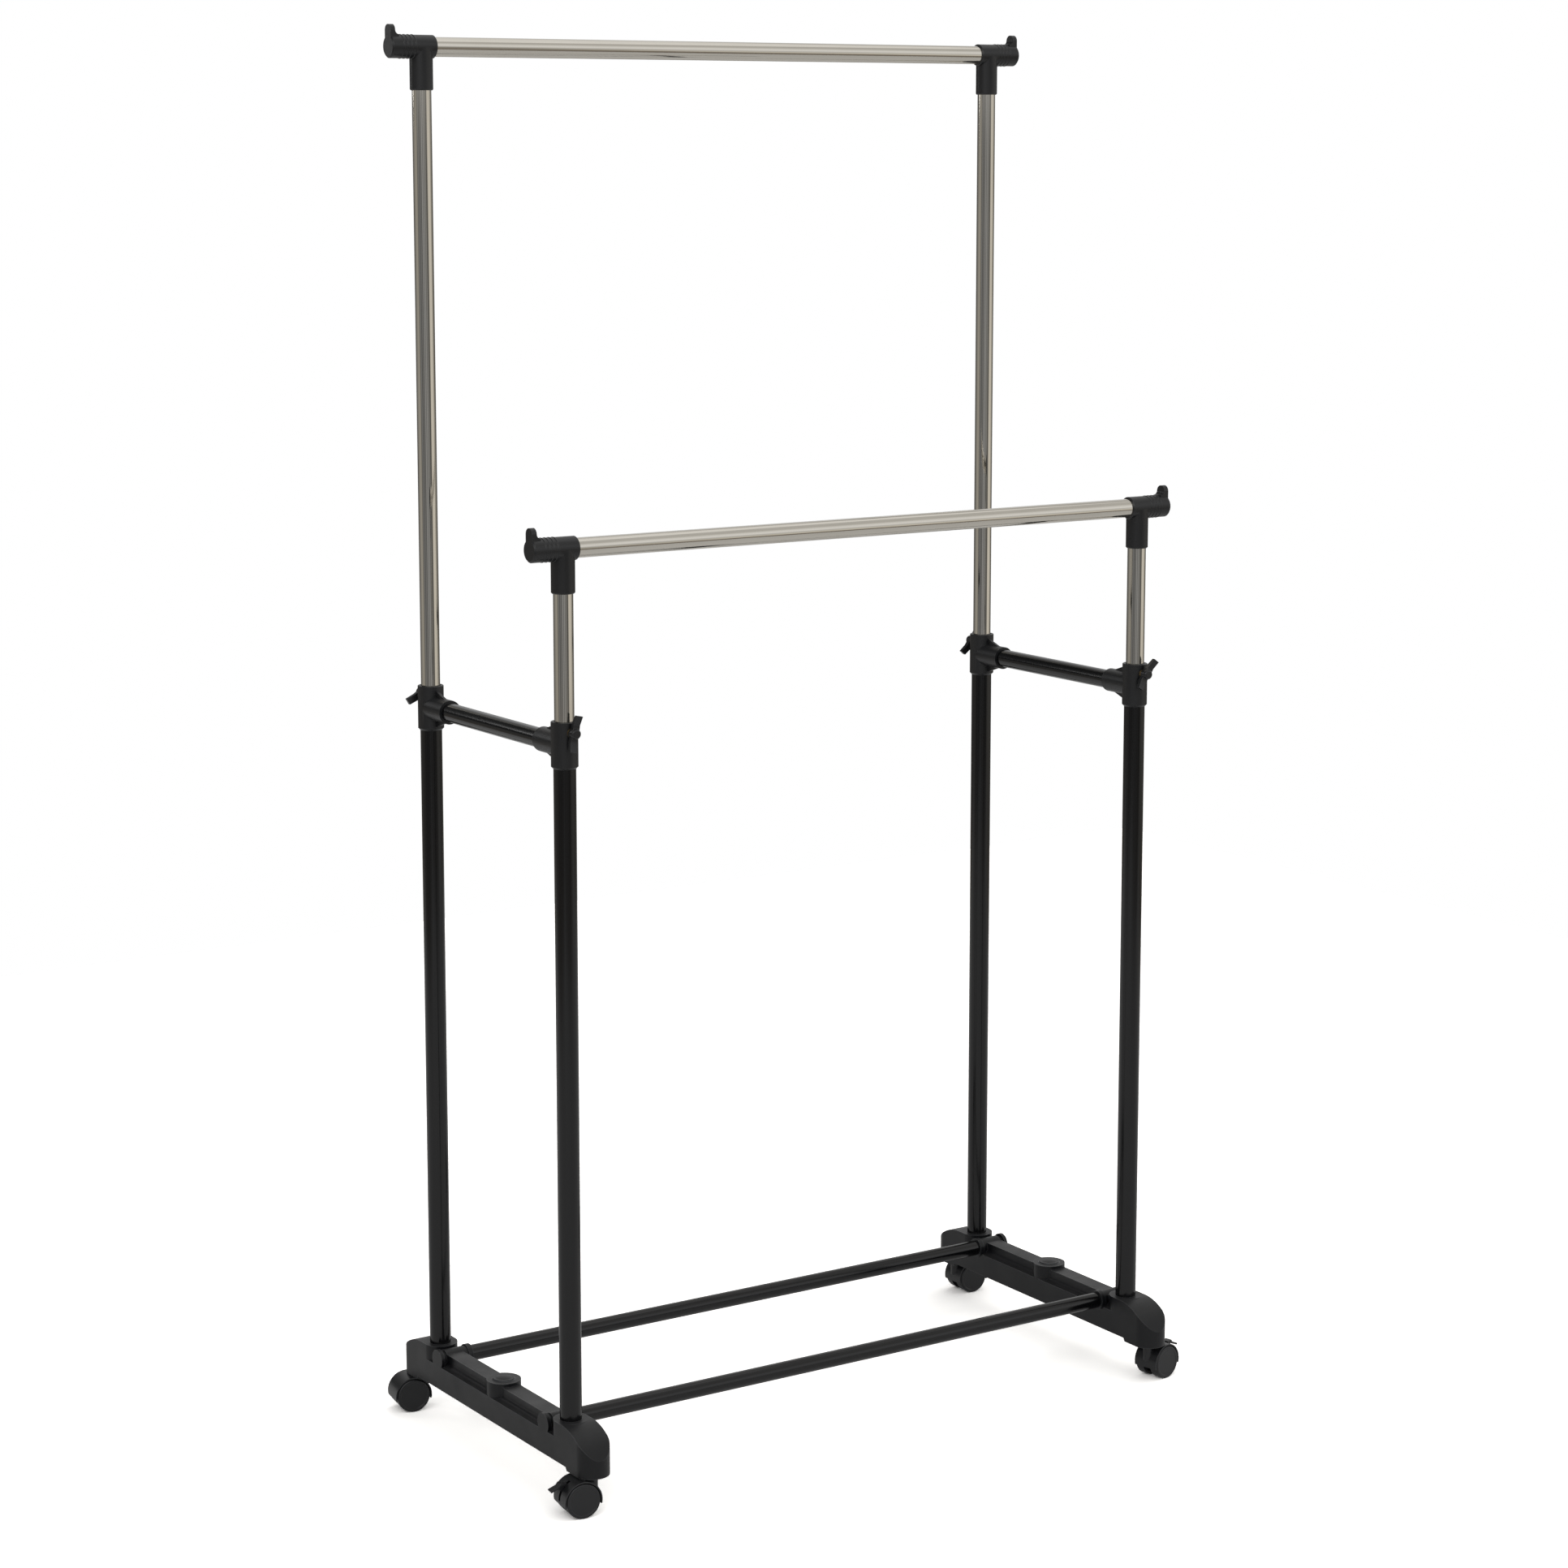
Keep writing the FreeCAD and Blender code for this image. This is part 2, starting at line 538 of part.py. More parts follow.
def make_base_plug(side, sign):
    """Domed cap that closes the spare middle socket."""
    name = f"{side}_base_plug"
    cap = "(Sizes.plug_diameter / 2)"
    dome = f"(({cap} * {cap} + Sizes.plug_dome * Sizes.plug_dome) / (2 * Sizes.plug_dome))"
    ball = doc.addObject("Part::Sphere", f"{name}_ball")
    bind(ball, Radius=dome)
    move(ball, z=f"Sizes.plug_dome - {dome}")
    crown = common(f"{name}_crown", ball, rod(f"{name}_rim", cap, f"2 * {dome}"))
    foot = "-Sizes.plug_stem"
    stem = rod(f"{name}_stem", POST_RADIUS, "Sizes.plug_stem + Sizes.plug_dome / 2", z=foot)
    hollow = rod(f"{name}_bore", f"({POST_RADIUS} - Sizes.base_shell)", "Sizes.plug_stem", z=foot)
    plug = cut(f"{name}_moulding", fuse(f"{name}_solid", crown, stem), hollow)
    move(plug, x=f"{sign} * {POST_X}", z=BLOCK_Z)
    keep(plug, name)


def make_base_rail(tier, sign):
    """Black tube between the two bases."""
    end = f"({POST_X} + {BASE_RAIL_END})"
    rail = tube(f"{tier}_base_rail", BASE_RAIL_RADIUS, "Sizes.base_rail_wall", f"2 * {end}")
    move(rail, f"-{end}", f"{sign} * {BASE_RAIL_Y}", BASE_RAIL_Z, ALONG["X"])
    keep(rail, f"{tier}_base_rail")


def make_post(side, tier, x, y):
    """Black lower post, seated on the floor of its socket."""
    post = tube(f"{side}_{tier}_post", POST_RADIUS, "Sizes.post_wall", "Sizes.post_length")
    move(post, x, y, f"{BLOCK_Z} - Sizes.post_socket")
    keep(post, f"{side}_{tier}_post")


def clamp_shell(name):
    """Outside of a clamp, with its arm along +Y and its screw towards -Y."""
    chamfer = "Sizes.clamp_chamfer"
    top = "Sizes.clamp_height"
    small = f"({chamfer} / 4)"
    barrel = turned(f"{name}_barrel", [
        ("0", "0"), (f"{CLAMP_RADIUS} - {chamfer}", "0"), (CLAMP_RADIUS, chamfer),
        (CLAMP_RADIUS, f"{top} - {small}"), (f"{CLAMP_RADIUS} - {small}", top), ("0", top),
    ])
    arm = rod(f"{name}_arm", ARM_RADIUS, "Sizes.arm_reach", z=ARM_Z, along="Y")
    web_top = f"({top} - 2 * {chamfer})"
    web_foot = f"(2 * {chamfer})"
    web_end = "Sizes.gusset_end"
    sunk = f"({ARM_RADIUS} - Sizes.gusset_sink)"
    web = prism(f"{name}_gussets", "YZ", [
        ("0", web_foot), (CLAMP_RADIUS, web_foot), (web_end, f"{ARM_Z} - {sunk}"),
        (web_end, f"{ARM_Z} + {sunk}"), (CLAMP_RADIUS, web_top), ("0", web_top),
    ], "-Sizes.gusset / 2", "Sizes.gusset")
    return fuse(f"{name}_shell", barrel, arm, web)


def clamp_bores(name):
    """Post socket, upright guide with a flared mouth, cross tube socket and insert hole."""
    flare = "Sizes.clamp_chamfer / 2"
    top = "Sizes.clamp_height"
    mouth = f"({GUIDE_RADIUS} + {flare})"
    over = f"({top} + {flare})"
    bore = turned(f"{name}_bore", [
        ("0", f"-{flare}"), (POST_RADIUS, f"-{flare}"), (POST_RADIUS, CLAMP_SOCKET),
        (GUIDE_RADIUS, CLAMP_SOCKET), (GUIDE_RADIUS, f"{top} - {flare}"),
        (mouth, top), (mouth, over), ("0", over),
    ])
    arm_bore = rod(
        f"{name}_arm_bore", CROSS_TUBE_RADIUS, "Sizes.arm_reach", y=CROSS_TUBE_START, z=ARM_Z, along="Y",
    )
    insert_hole = rod(
        f"{name}_insert_hole", "Sizes.insert_diameter / 2", f"2 * {CLAMP_RADIUS}",
        y=f"-2 * {CLAMP_RADIUS}", z=KNOB_Z, along="Y",
    )
    return bore, arm_bore, insert_hole


def make_clamp(side, tier, x, y, sign):
    """Moulded clamp that joins a post, a cross tube and the sliding upright."""
    name = f"{side}_{tier}_clamp"
    clamp = cut(f"{name}_moulding", clamp_shell(name), *clamp_bores(name))
    move(clamp, x, y, CLAMP_Z, NO_TURN if sign < 0 else HALF_TURN)
    keep(clamp, name)


def make_cross_tube(side, sign):
    """Black tube between the front and back clamps of one side."""
    length = f"(Sizes.post_depth - 2 * {CROSS_TUBE_START})"
    cross = tube(f"{side}_cross_tube", CROSS_TUBE_RADIUS, "Sizes.cross_tube_wall", length)
    move(cross, f"{sign} * {POST_X}", f"-{length} / 2", f"{CLAMP_Z} + {ARM_Z}", ALONG["Y"])
    keep(cross, f"{side}_cross_tube")


def knob_places():
    """Side, tier, sign and outward placement of each of the four knobs."""
    for side, x_sign in SIDES:
        for tier, y_sign in TIERS:
            yield side, tier, x_sign, y_sign


def make_inserts():
    """Four threaded brass rings, one in each clamp wall."""
    rings = []
    hole = "(Sizes.screw_diameter / 2 + Sizes.screw_clearance)"
    length = f"({INSERT_END} - {GUIDE_RADIUS} - Sizes.slide_gap)"
    for side, tier, x_sign, y_sign in knob_places():
        name = f"{side}_{tier}_insert"
        start = f"-{INSERT_END}" if y_sign < 0 else f"({INSERT_END} - {length})"
        y = f"{y_sign} * {POST_Y} + {start}"
        place = (f"{x_sign} * {POST_X}", y, f"{CLAMP_Z} + {KNOB_Z}")
        outer = rod(f"{name}_outer", "Sizes.insert_diameter / 2", length, *place, along="Y")
        inner = rod(f"{name}_inner", hole, length, *place, along="Y")
        rings.append(cut(name, outer, inner))
    group = doc.addObject("Part::Compound", "clamp_inserts_group")
    group.Links = rings
    keep(group, "clamp_inserts")


def make_stem_bushes():
    """Four bushes pressed up into the ends of the bases, one for each caster stem."""
    bushes = []
    bore = "(Sizes.stem_diameter / 2 + Sizes.stem_clearance)"
    for side, x_sign in SIDES:
        for tier, y_sign in TIERS:
            name = f"{side}_{tier}_bush"
            place = (f"{x_sign} * {POST_X}", f"{y_sign} * {STEM_Y}", FOOT_Z)
            outer = rod(f"{name}_outer", f"({bore} + Sizes.bush_wall)", BUSH_LENGTH, *place)
            inner = rod(f"{name}_inner", bore, BUSH_LENGTH, *place)
            bushes.append(cut(name, outer, inner))
    group = doc.addObject("Part::Compound", "stem_bushes_group")
    group.Links = bushes
    keep(group, "stem_bushes")


# ---------------------------------------------------------------- sliding tiers

def rail_height(tier):
    """Height of a tier's rail axis, from how far its uprights reach into the posts."""
    return f"({CLAMP_TOP_Z} - Sizes.{tier}_insertion + Sizes.upright_length + {TEE_STOP})"


def make_upright(side, tier, x, y):
    """Bright tube that slides in a post and ends inside the tee."""
    upright = tube(f"{side}_{tier}_upright", UPRIGHT_RADIUS, "Sizes.upright_wall", "Sizes.upright_length")
    move(upright, x, y, f"{CLAMP_TOP_Z} - Sizes.{tier}_insertion")
    keep(upright, f"{side}_{tier}_upright")


def make_hanging_rail(tier, sign):
    """Bright tube that the hangers hook over."""
    rail = tube(f"{tier}_hanging_rail", RAIL_RADIUS, "Sizes.rail_wall", f"2 * ({POST_X} + {RAIL_END})")
    move(rail, f"-({POST_X} + {RAIL_END})", f"{sign} * {POST_Y}", rail_height(tier), ALONG["X"])
    keep(rail, f"{tier}_hanging_rail")


def tee_tab(name):
    """Round-topped tab at the tee's closed end, with a hollow root."""
    half = "(Sizes.tab_width / 2)"
    start = "(Sizes.tee_reach - Sizes.tab_thickness)"
    shoulder = f"(Sizes.tab_height - {half})"
    root_top = f"({TEE_RADIUS} + Sizes.tab_root)"
    plate = block(f"{name}_plate", (start, f"-{half}", "0"), ("Sizes.tee_reach", half, shoulder))
    crown = rod(f"{name}_crown", half, "Sizes.tab_thickness", start, "0", shoulder, "X")
    root_start = f"({start} - Sizes.tab_root)"
    filler = block(f"{name}_filler", (root_start, f"-{half}", "0"), (start, half, root_top))
    width = "Sizes.tab_width"
    hollow = rod(f"{name}_root", "Sizes.tab_root", f"2 * {width}", root_start, f"-{width}", root_top, "Y")
    return plate, crown, cut(f"{name}_root_fill", filler, hollow)


def make_tee(side, tier, x, y):
    """Moulded tee that joins an upright to the hanging rail."""
    name = f"{side}_{tier}_tee"
    mouth = "Sizes.tee_mouth_chamfer"
    end = "Sizes.tee_end_chamfer"
    foot = "Sizes.tee_foot_chamfer"
    sleeve = turned(f"{name}_sleeve", [
        ("0", "-Sizes.tee_mouth"), (f"{TEE_RADIUS} - {mouth}", "-Sizes.tee_mouth"),
        (TEE_RADIUS, f"-Sizes.tee_mouth + {mouth}"), (TEE_RADIUS, f"Sizes.tee_reach - {end}"),
        (f"{TEE_RADIUS} - {end}", "Sizes.tee_reach"), ("0", "Sizes.tee_reach"),
    ])
    move(sleeve, turn=ALONG["X"])
    leg = turned(f"{name}_leg", [
        ("0", "-Sizes.tee_drop"), (f"{TEE_POST_RADIUS} - {foot}", "-Sizes.tee_drop"),
        (TEE_POST_RADIUS, f"-Sizes.tee_drop + {foot}"), (TEE_POST_RADIUS, "0"), ("0", "0"),
    ])
    pieces = [sleeve, leg, *tee_tab(f"{name}_tab")]
    ring_line = f"{TEE_RADIUS} + Sizes.ring_stand - Sizes.ring_radius"
    for index in range(GRIP_RINGS):
        ring = doc.addObject("Part::Torus", f"{name}_ring_{index}")
        bind(ring, Radius1=ring_line, Radius2="Sizes.ring_radius")
        move(ring, x=f"Sizes.ring_start + {index} * Sizes.ring_pitch", turn=ALONG["X"])
        pieces.append(ring)
    rail_bore = rod(
        f"{name}_rail_bore", RAIL_RADIUS, f"2 * Sizes.tee_mouth + {RAIL_END}",
        "-2 * Sizes.tee_mouth", along="X",
    )
    leg_bore = rod(
        f"{name}_leg_bore", UPRIGHT_RADIUS, f"2 * Sizes.tee_drop - {TEE_STOP}", z="-2 * Sizes.tee_drop",
    )
    tee = cut(f"{name}_moulding", fuse(f"{name}_solid", *pieces), rail_bore, leg_bore)
    move(tee, x, y, rail_height(tier), HALF_TURN if side == "left" else NO_TURN)
    keep(tee, name)


# ---------------------------------------------------------------- wing knobs

def knob_seat(item, x_sign, y_sign, wing_turn):
    """Put a piece drawn round +Z, starting at the post axis, on a clamp's screw axis."""
    outward = FreeCAD.Rotation(UNIT_X, 90) if y_sign < 0 else FreeCAD.Rotation(UNIT_X, -90)
    turn = outward.multiply(FreeCAD.Rotation(UNIT_Z, wing_turn))
    move(item, f"{x_sign} * {POST_X}", f"{y_sign} * {POST_Y}", f"{CLAMP_Z} + {KNOB_Z}", turn)


def make_screw(side, tier, x_sign, y_sign):
    """Steel clamping screw, moulded into its knob."""
    name = f"{side}_{tier}_clamp_screw"
    end = f"({KNOB_START} + Sizes.screw_grip)"
    radius = "(Sizes.screw_diameter / 2)"
    chamfer = "Sizes.screw_chamfer"
    screw = turned(name, [
        ("0", SCREW_TIP), (f"{radius} - {chamfer}", SCREW_TIP), (radius, f"{SCREW_TIP} + {chamfer}"),
        (radius, end), ("0", end),
    ])
    knob_seat(screw, x_sign, y_sign, 0)
    keep(screw, name)


def wing(name, sign):
    """One cranked wing of the knob, in the plane through the screw axis."""
    tip = f"{sign} * Sizes.wing_span / 2"
    bend = f"{sign} * Sizes.wing_bend"
    root = f"{sign} * Sizes.knob_diameter / 4"
    foot = f"({KNOB_START} + Sizes.wing_foot)"
    raised = f"({foot} + Sizes.wing_crank)"
    thick = "Sizes.wing_thickness"
    corners = [
        (root, foot), (bend, foot), (tip, raised), (tip, f"{raised} + {thick}"),
        (bend, f"{foot} + 1.25 * {thick}"), (root, f"{foot} + 1.5 * {thick}"),
    ]
    label = "up" if sign > 0 else "down"
    return prism(f"{name}_wing_{label}", "XZ", corners, "-Sizes.wing_width / 2", "Sizes.wing_width")


def make_knob(side, tier, x_sign, y_sign, wing_turn):
    """Wing knob: a round hub with two cranked wings."""
    name = f"{side}_{tier}_wing_knob"
    radius = "(Sizes.knob_diameter / 2)"
    top = f"({KNOB_START} + Sizes.knob_length)"
    chamfer = "Sizes.knob_chamfer"
    hub = turned(f"{name}_hub", [
        ("0", KNOB_START), (f"{radius} - {chamfer}", KNOB_START), (radius, f"{KNOB_START} + {chamfer}"),
        (radius, top), ("0", top),
    ])
    middle_now = value_of(f"{KNOB_START} + Sizes.knob_length / 2")

    def outer_end(edge):
        return edge.BoundBox.ZLength < 0.01 and edge.BoundBox.ZMin > middle_now

    round_edges(hub, "Sizes.knob_round", outer_end)
    solid = fuse(f"{name}_solid", hub, wing(name, 1), wing(name, -1))
    hole = rod(f"{name}_hole", "Sizes.screw_diameter / 2", "Sizes.screw_grip", z=KNOB_START)
    knob = cut(f"{name}_moulding", solid, hole)
    knob_seat(knob, x_sign, y_sign, wing_turn)
    keep(knob, name)


# ---------------------------------------------------------------- casters

class CasterSeat:
    """Place of one caster: its stem axis on the floor, and the way it trails."""

    def __init__(self, side, tier, x_sign, y_sign):
        self.name = f"{side}_{tier}"
        self.x = f"{x_sign} * {POST_X}"
        self.y = f"{y_sign} * {STEM_Y}"
        self.heading = f"({SWIVELS[self.name]} + {0 if x_sign > 0 else 180})"

    def put(self, item, trail="0", across="0", z="0", turn=NO_TURN):
        """Seat a piece that lies trail behind the stem and across to one side."""
        swivel = FreeCAD.Rotation(UNIT_Z, value_of(self.heading))
        cosine = f"cos({self.heading} * 1 deg)"
        sine = f"sin({self.heading} * 1 deg)"
        x = f"{self.x} + {cosine} * ({trail}) - {sine} * ({across})"
        y = f"{self.y} + {sine} * ({trail}) + {cosine} * ({across})"
        move(item, x, y, z, swivel.multiply(turn))


def lever_point(radius, degrees=0):
    """Trail and height of a point: its radius from the axle and its angle from the lever's."""
    angle = f"(Sizes.lever_angle + {degrees}) * 1 deg"
    trail = f"(Sizes.caster_trail + ({radius}) * cos({angle}))"
    height = f"({WHEEL_RADIUS} + ({radius}) * sin({angle}))"
    return trail, height


def hood_outer(name):
    """Hood with its core, before the wheel spaces are cut out: a skirted round and a neck."""
    low = f"({WHEEL_RADIUS} - Sizes.hood_skirt)"
    trail = "Sizes.caster_trail"
    drum = rod(f"{name}_drum", HOOD_RADIUS, f"2 * {HOOD_HALF}", trail, f"-{HOOD_HALF}", WHEEL_RADIUS, "Y")
    keeper = block(
        f"{name}_keeper", ("-2 * Sizes.wheel_diameter", f"-2 * {HOOD_HALF}", low),
        ("2 * Sizes.wheel_diameter", f"2 * {HOOD_HALF}", f"4 * {HOOD_RADIUS}"),
    )
    half_drum = common(f"{name}_half_drum", drum, keeper)
    neck_z = f"({WHEEL_RADIUS} + Sizes.neck_root)"
    neck_length = f"({FOOT_Z} - Sizes.neck_gap - {neck_z})"
    neck = rod(f"{name}_neck", "Sizes.neck_diameter / 2", neck_length, z=neck_z)
    return fuse(f"{name}_outer", half_drum, neck)


def hood_tools(name, braked):
    """Wheel spaces, stem hole, axle hole and, on a braked caster, the lever's slot and pivot."""
    trail = "Sizes.caster_trail"
    length = f"(2 * {HOOD_HALF} - {CORE_HALF})"
    axle_start = f"-2 * {HOOD_HALF}"
    tools = [
        rod(f"{name}_one_space", HOOD_INSIDE, length, trail, f"-2 * {HOOD_HALF}", WHEEL_RADIUS, "Y"),
        rod(f"{name}_other_space", HOOD_INSIDE, length, trail, CORE_HALF, WHEEL_RADIUS, "Y"),
        rod(f"{name}_stem_hole", "Sizes.stem_diameter / 2", f"2 * {STEM_LENGTH}", z=STEM_BOTTOM_Z),
        rod(
            f"{name}_axle_hole", "Sizes.axle_diameter / 2", f"4 * {HOOD_HALF}", trail, axle_start,
            WHEEL_RADIUS, "Y",
        ),
    ]
    if braked:
        half = "(Sizes.lever_thickness / 2 + Sizes.lever_gap)"
        outside = f"1.5 * {HOOD_RADIUS}"
        inside = "1.25 * Sizes.axle_diameter"
        corners = [
            lever_point(inside, "-Sizes.slot_low"),
            lever_point(outside, "-0.78 * Sizes.slot_low"),
            lever_point(outside, "0.58 * Sizes.slot_high"),
            lever_point(inside, "1.4 * Sizes.slot_high"),
        ]
        tools.append(prism(f"{name}_slot", "XZ", corners, f"-{half}", f"2 * {half}"))
        pivot_trail, pivot_z = lever_point("Sizes.lever_pivot")
        pivot_radius = "(Sizes.trunnion_diameter / 2 + Sizes.trunnion_clearance)"
        length = f"2 * {CORE_HALF}"
        start = f"-{CORE_HALF}"
        tools.append(rod(f"{name}_pivot_hole", pivot_radius, length, pivot_trail, start, pivot_z, "Y"))
    return tools


def make_hood(seat, braked):
    """Caster body: hood over both wheels, core between them and neck round the stem."""
    name = f"{seat.name}_caster_hood"
    hood = cut(f"{name}_moulding", hood_outer(name), *hood_tools(name, braked))
    seat.put(hood)
    keep(hood, name)


def make_stem(seat):
    """Steel stem, fixed in the hood and turning in its bush."""
    name = f"{seat.name}_caster_stem"
    radius = "(Sizes.stem_diameter / 2)"
    chamfer = "Sizes.stem_chamfer"
    stem = turned(name, [
        ("0", "0"), (radius, "0"), (radius, f"{STEM_LENGTH} - {chamfer}"),
        (f"{radius} - {chamfer}", STEM_LENGTH), ("0", STEM_LENGTH),
    ])
    seat.put(stem, z=STEM_BOTTOM_Z)
    keep(stem, name)


def make_axle(seat):
    """Steel axle through the core, with a wheel on each end."""
    name = f"{seat.name}_caster_axle"
    radius = "(Sizes.axle_diameter / 2)"
    chamfer = "Sizes.axle_chamfer"
    end = f"({WHEEL_END} - Sizes.wheel_face - {chamfer})"
    axle = turned(name, [
        ("0", f"-{end}"), (f"{radius} - {chamfer}", f"-{end}"), (radius, f"-{end} + {chamfer}"),
        (radius, f"{end} - {chamfer}"), (f"{radius} - {chamfer}", end), ("0", end),
    ])
    seat.put(axle, "Sizes.caster_trail", "0", WHEEL_RADIUS, ALONG["Y"])
    keep(axle, name)


def make_wheel(seat, label, sign):
    """Caster wheel: closed outer face, tread wall and hub, open towards the core."""
    name = f"{seat.name}_{label}_wheel"
    bore = "(Sizes.axle_diameter / 2 + Sizes.axle_clearance)"
    hub = f"({bore} + Sizes.hub_wall)"
    rim = f"({WHEEL_RADIUS} - Sizes.wheel_rim)"
    width = "Sizes.wheel_width"
    face = f"({width} - Sizes.wheel_face)"
    lip = f"({WHEEL_RADIUS} - Sizes.wheel_lip)"
    recess = f"({width} - Sizes.wheel_recess)"
    wheel = turned(name, [
        ("0", face), (bore, face), (bore, "0"), (hub, "0"), (hub, face), (rim, face), (rim, "0"),
        (WHEEL_RADIUS, "0"), (WHEEL_RADIUS, width), (lip, width),
        (f"{lip} - Sizes.wheel_lip_slope", recess), ("0", recess),
    ])
    outer_radius = value_of(WHEEL_RADIUS)
    width_now = value_of(width)

    def outer_rim(edge):
        box = edge.BoundBox
        return abs(box.XLength / 2 - outer_radius) < 0.01 and box.ZMin > width_now - 0.01

    round_edges(wheel, "Sizes.wheel_round", outer_rim)
    outward = ALONG["Y"] if sign > 0 else FreeCAD.Rotation(UNIT_X, 90)
    seat.put(wheel, "Sizes.caster_trail", f"{sign} * {WHEEL_START}", WHEEL_RADIUS, outward)
    keep(wheel, name)


def lever_outlines():
    """Side views of the brake lever: the stalk in its slot, and the curved foot plate over it."""
    root = "0.75 * Sizes.lever_pivot"
    crown = f"({HOOD_RADIUS} + Sizes.lever_rise)"
    tip = f"({HOOD_RADIUS} + Sizes.lever_reach)"
    inner_end = f"({HOOD_RADIUS} + Sizes.lever_plate)"
    mid = f"({HOOD_RADIUS} + Sizes.lever_rise / 2)"
    under = f"({crown} - 0.8 * Sizes.lever_plate)"
    stalk = [
        lever_point(root, 24), lever_point(mid, 5), lever_point(under, 4), lever_point(under, -8),
        lever_point(mid, -8), lever_point(root, -24),
    ]
    plate = [
        lever_point(inner_end, 15), lever_point(crown, 5), lever_point(crown, -3), lever_point(tip, -16),
        lever_point(f"{tip} - 0.6 * Sizes.lever_plate", -18.5),
        lever_point(f"{crown} - Sizes.lever_plate", -4), lever_point(f"{crown} - Sizes.lever_plate", 3),
        lever_point(f"{inner_end} - 0.6 * Sizes.lever_plate", 11),
    ]
    return stalk, plate


def make_lever(seat):
    """Brake lever: stalk through the hood's slot, curved foot plate and moulded pivot pin."""
    name = f"{seat.name}_brake_lever"
    stalk, plate = lever_outlines()
    pivot_trail, pivot_z = lever_point("Sizes.lever_pivot")
    half = f"({CORE_HALF} - Sizes.lever_gap / 3)"
    pin_radius = "Sizes.trunnion_diameter / 2"
    lever = fuse(
        f"{name}_moulding",
        prism(f"{name}_stalk", "XZ", stalk, "-Sizes.lever_thickness / 2", "Sizes.lever_thickness"),
        prism(f"{name}_plate", "XZ", plate, "-Sizes.lever_width / 2", "Sizes.lever_width"),
        rod(f"{name}_pin", pin_radius, f"2 * {half}", pivot_trail, f"-{half}", pivot_z, "Y"),
    )
    seat.put(lever)
    keep(lever, name)


# ---------------------------------------------------------------- whole rack

# Resting turn of each wing knob about its screw, in degrees.
WING_TURNS = {"left_front": 78, "right_front": 54, "left_back": 149, "right_back": 128}


def make_root():
    """Bases, base rails, posts, clamps and cross tubes."""
    for side, sign in SIDES:
        make_base(side, sign)
        make_base_plug(side, sign)
        make_cross_tube(side, sign)
        for tier, y_sign in TIERS:
            x = f"{sign} * {POST_X}"
            y = f"{y_sign} * {POST_Y}"
            make_post(side, tier, x, y)
            make_clamp(side, tier, x, y, y_sign)
    for tier, y_sign in TIERS:
        make_base_rail(tier, y_sign)
    make_inserts()
    make_stem_bushes()


def make_tiers():
    """Uprights, tees and hanging rails of both tiers."""
    for tier, y_sign in TIERS:
        make_hanging_rail(tier, y_sign)
        for side, sign in SIDES:
            x = f"{sign} * {POST_X}"
            y = f"{y_sign} * {POST_Y}"
            make_upright(side, tier, x, y)
            make_tee(side, tier, x, y)


def make_knobs():
    """Four wing knobs with their screws."""
    for side, tier, x_sign, y_sign in knob_places():
        make_screw(side, tier, x_sign, y_sign)
        make_knob(side, tier, x_sign, y_sign, WING_TURNS[f"{side}_{tier}"])


def make_casters():
    """Four swivelling casters; the two front ones have brakes."""
    for side, x_sign in SIDES:
        for tier, y_sign in TIERS:
            seat = CasterSeat(side, tier, x_sign, y_sign)
            braked = tier == "front"
            make_hood(seat, braked)
            make_stem(seat)
            make_axle(seat)
            make_wheel(seat, "inner", -x_sign * y_sign)
            make_wheel(seat, "outer", x_sign * y_sign)
            if braked:
                make_lever(seat)


def check_document():
    """Stop if any object failed, or any piece has no valid shape."""
    for item in doc.Objects:
        if {"Invalid", "Error"} & set(item.State):
            raise SystemExit(f"{item.Name} failed: {item.State}")
    for node in nodes:
        if node.Shape.isNull() or not node.Shape.isValid():
            raise SystemExit(f"{node.Label} has no valid shape")


def export_parts():
    """Write every piece to a file of its own name."""
    os.makedirs("parts", exist_ok=True)
    for node in nodes:
        node.Shape.exportStep(f"parts/{node.Label}.step")
    print(f"wrote {len(nodes)} parts")


make_root()
make_tiers()
make_knobs()
make_casters()
doc.recompute()
check_document()
export_parts()
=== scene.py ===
"""Looks of a two-tier rolling clothes rack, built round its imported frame.

The frame gives every shape and place. This script softens the moulded edges, gives each sub-assembly its
finishes, and sets up a plain studio. Lengths are in metres.
"""

import logging
import math
from dataclasses import dataclass, field
from enum import Enum

import bpy
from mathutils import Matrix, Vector


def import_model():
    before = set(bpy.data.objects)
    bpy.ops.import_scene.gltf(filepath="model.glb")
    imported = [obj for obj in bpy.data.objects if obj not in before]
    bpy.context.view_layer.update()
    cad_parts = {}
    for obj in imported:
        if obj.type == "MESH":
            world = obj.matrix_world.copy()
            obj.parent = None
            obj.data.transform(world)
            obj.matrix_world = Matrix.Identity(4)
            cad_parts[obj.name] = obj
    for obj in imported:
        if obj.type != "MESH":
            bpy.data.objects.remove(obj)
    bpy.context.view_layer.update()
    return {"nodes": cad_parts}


LOG = logging.getLogger("clothes_rack")
MM = 0.001

Colour = tuple[float, float, float]
Place = tuple[float, float, float]
Span = tuple[float, float]
Nodes = bpy.types.NodeTree

# What a warmth of 1 takes from the red, green and blue of a light.
WARM_LOSS = (0.0, 0.045, 0.13)


class Slot(Enum):
    """Names of the record's material slots."""

    PLASTIC = "black_plastic"
    ENAMEL = "black_enamel"
    CHROME = "bright_chrome"
    ZINC = "zinc_steel"
    BRASS = "brass"
    CASTER = "caster_plastic"
    NYLON = "wheel_nylon"


class Side(Enum):
    """The two ends of the rack."""

    LEFT = "left"
    RIGHT = "right"


class Row(Enum):
    """The low front row and the high back row of posts."""

    FRONT = "front"
    BACK = "back"


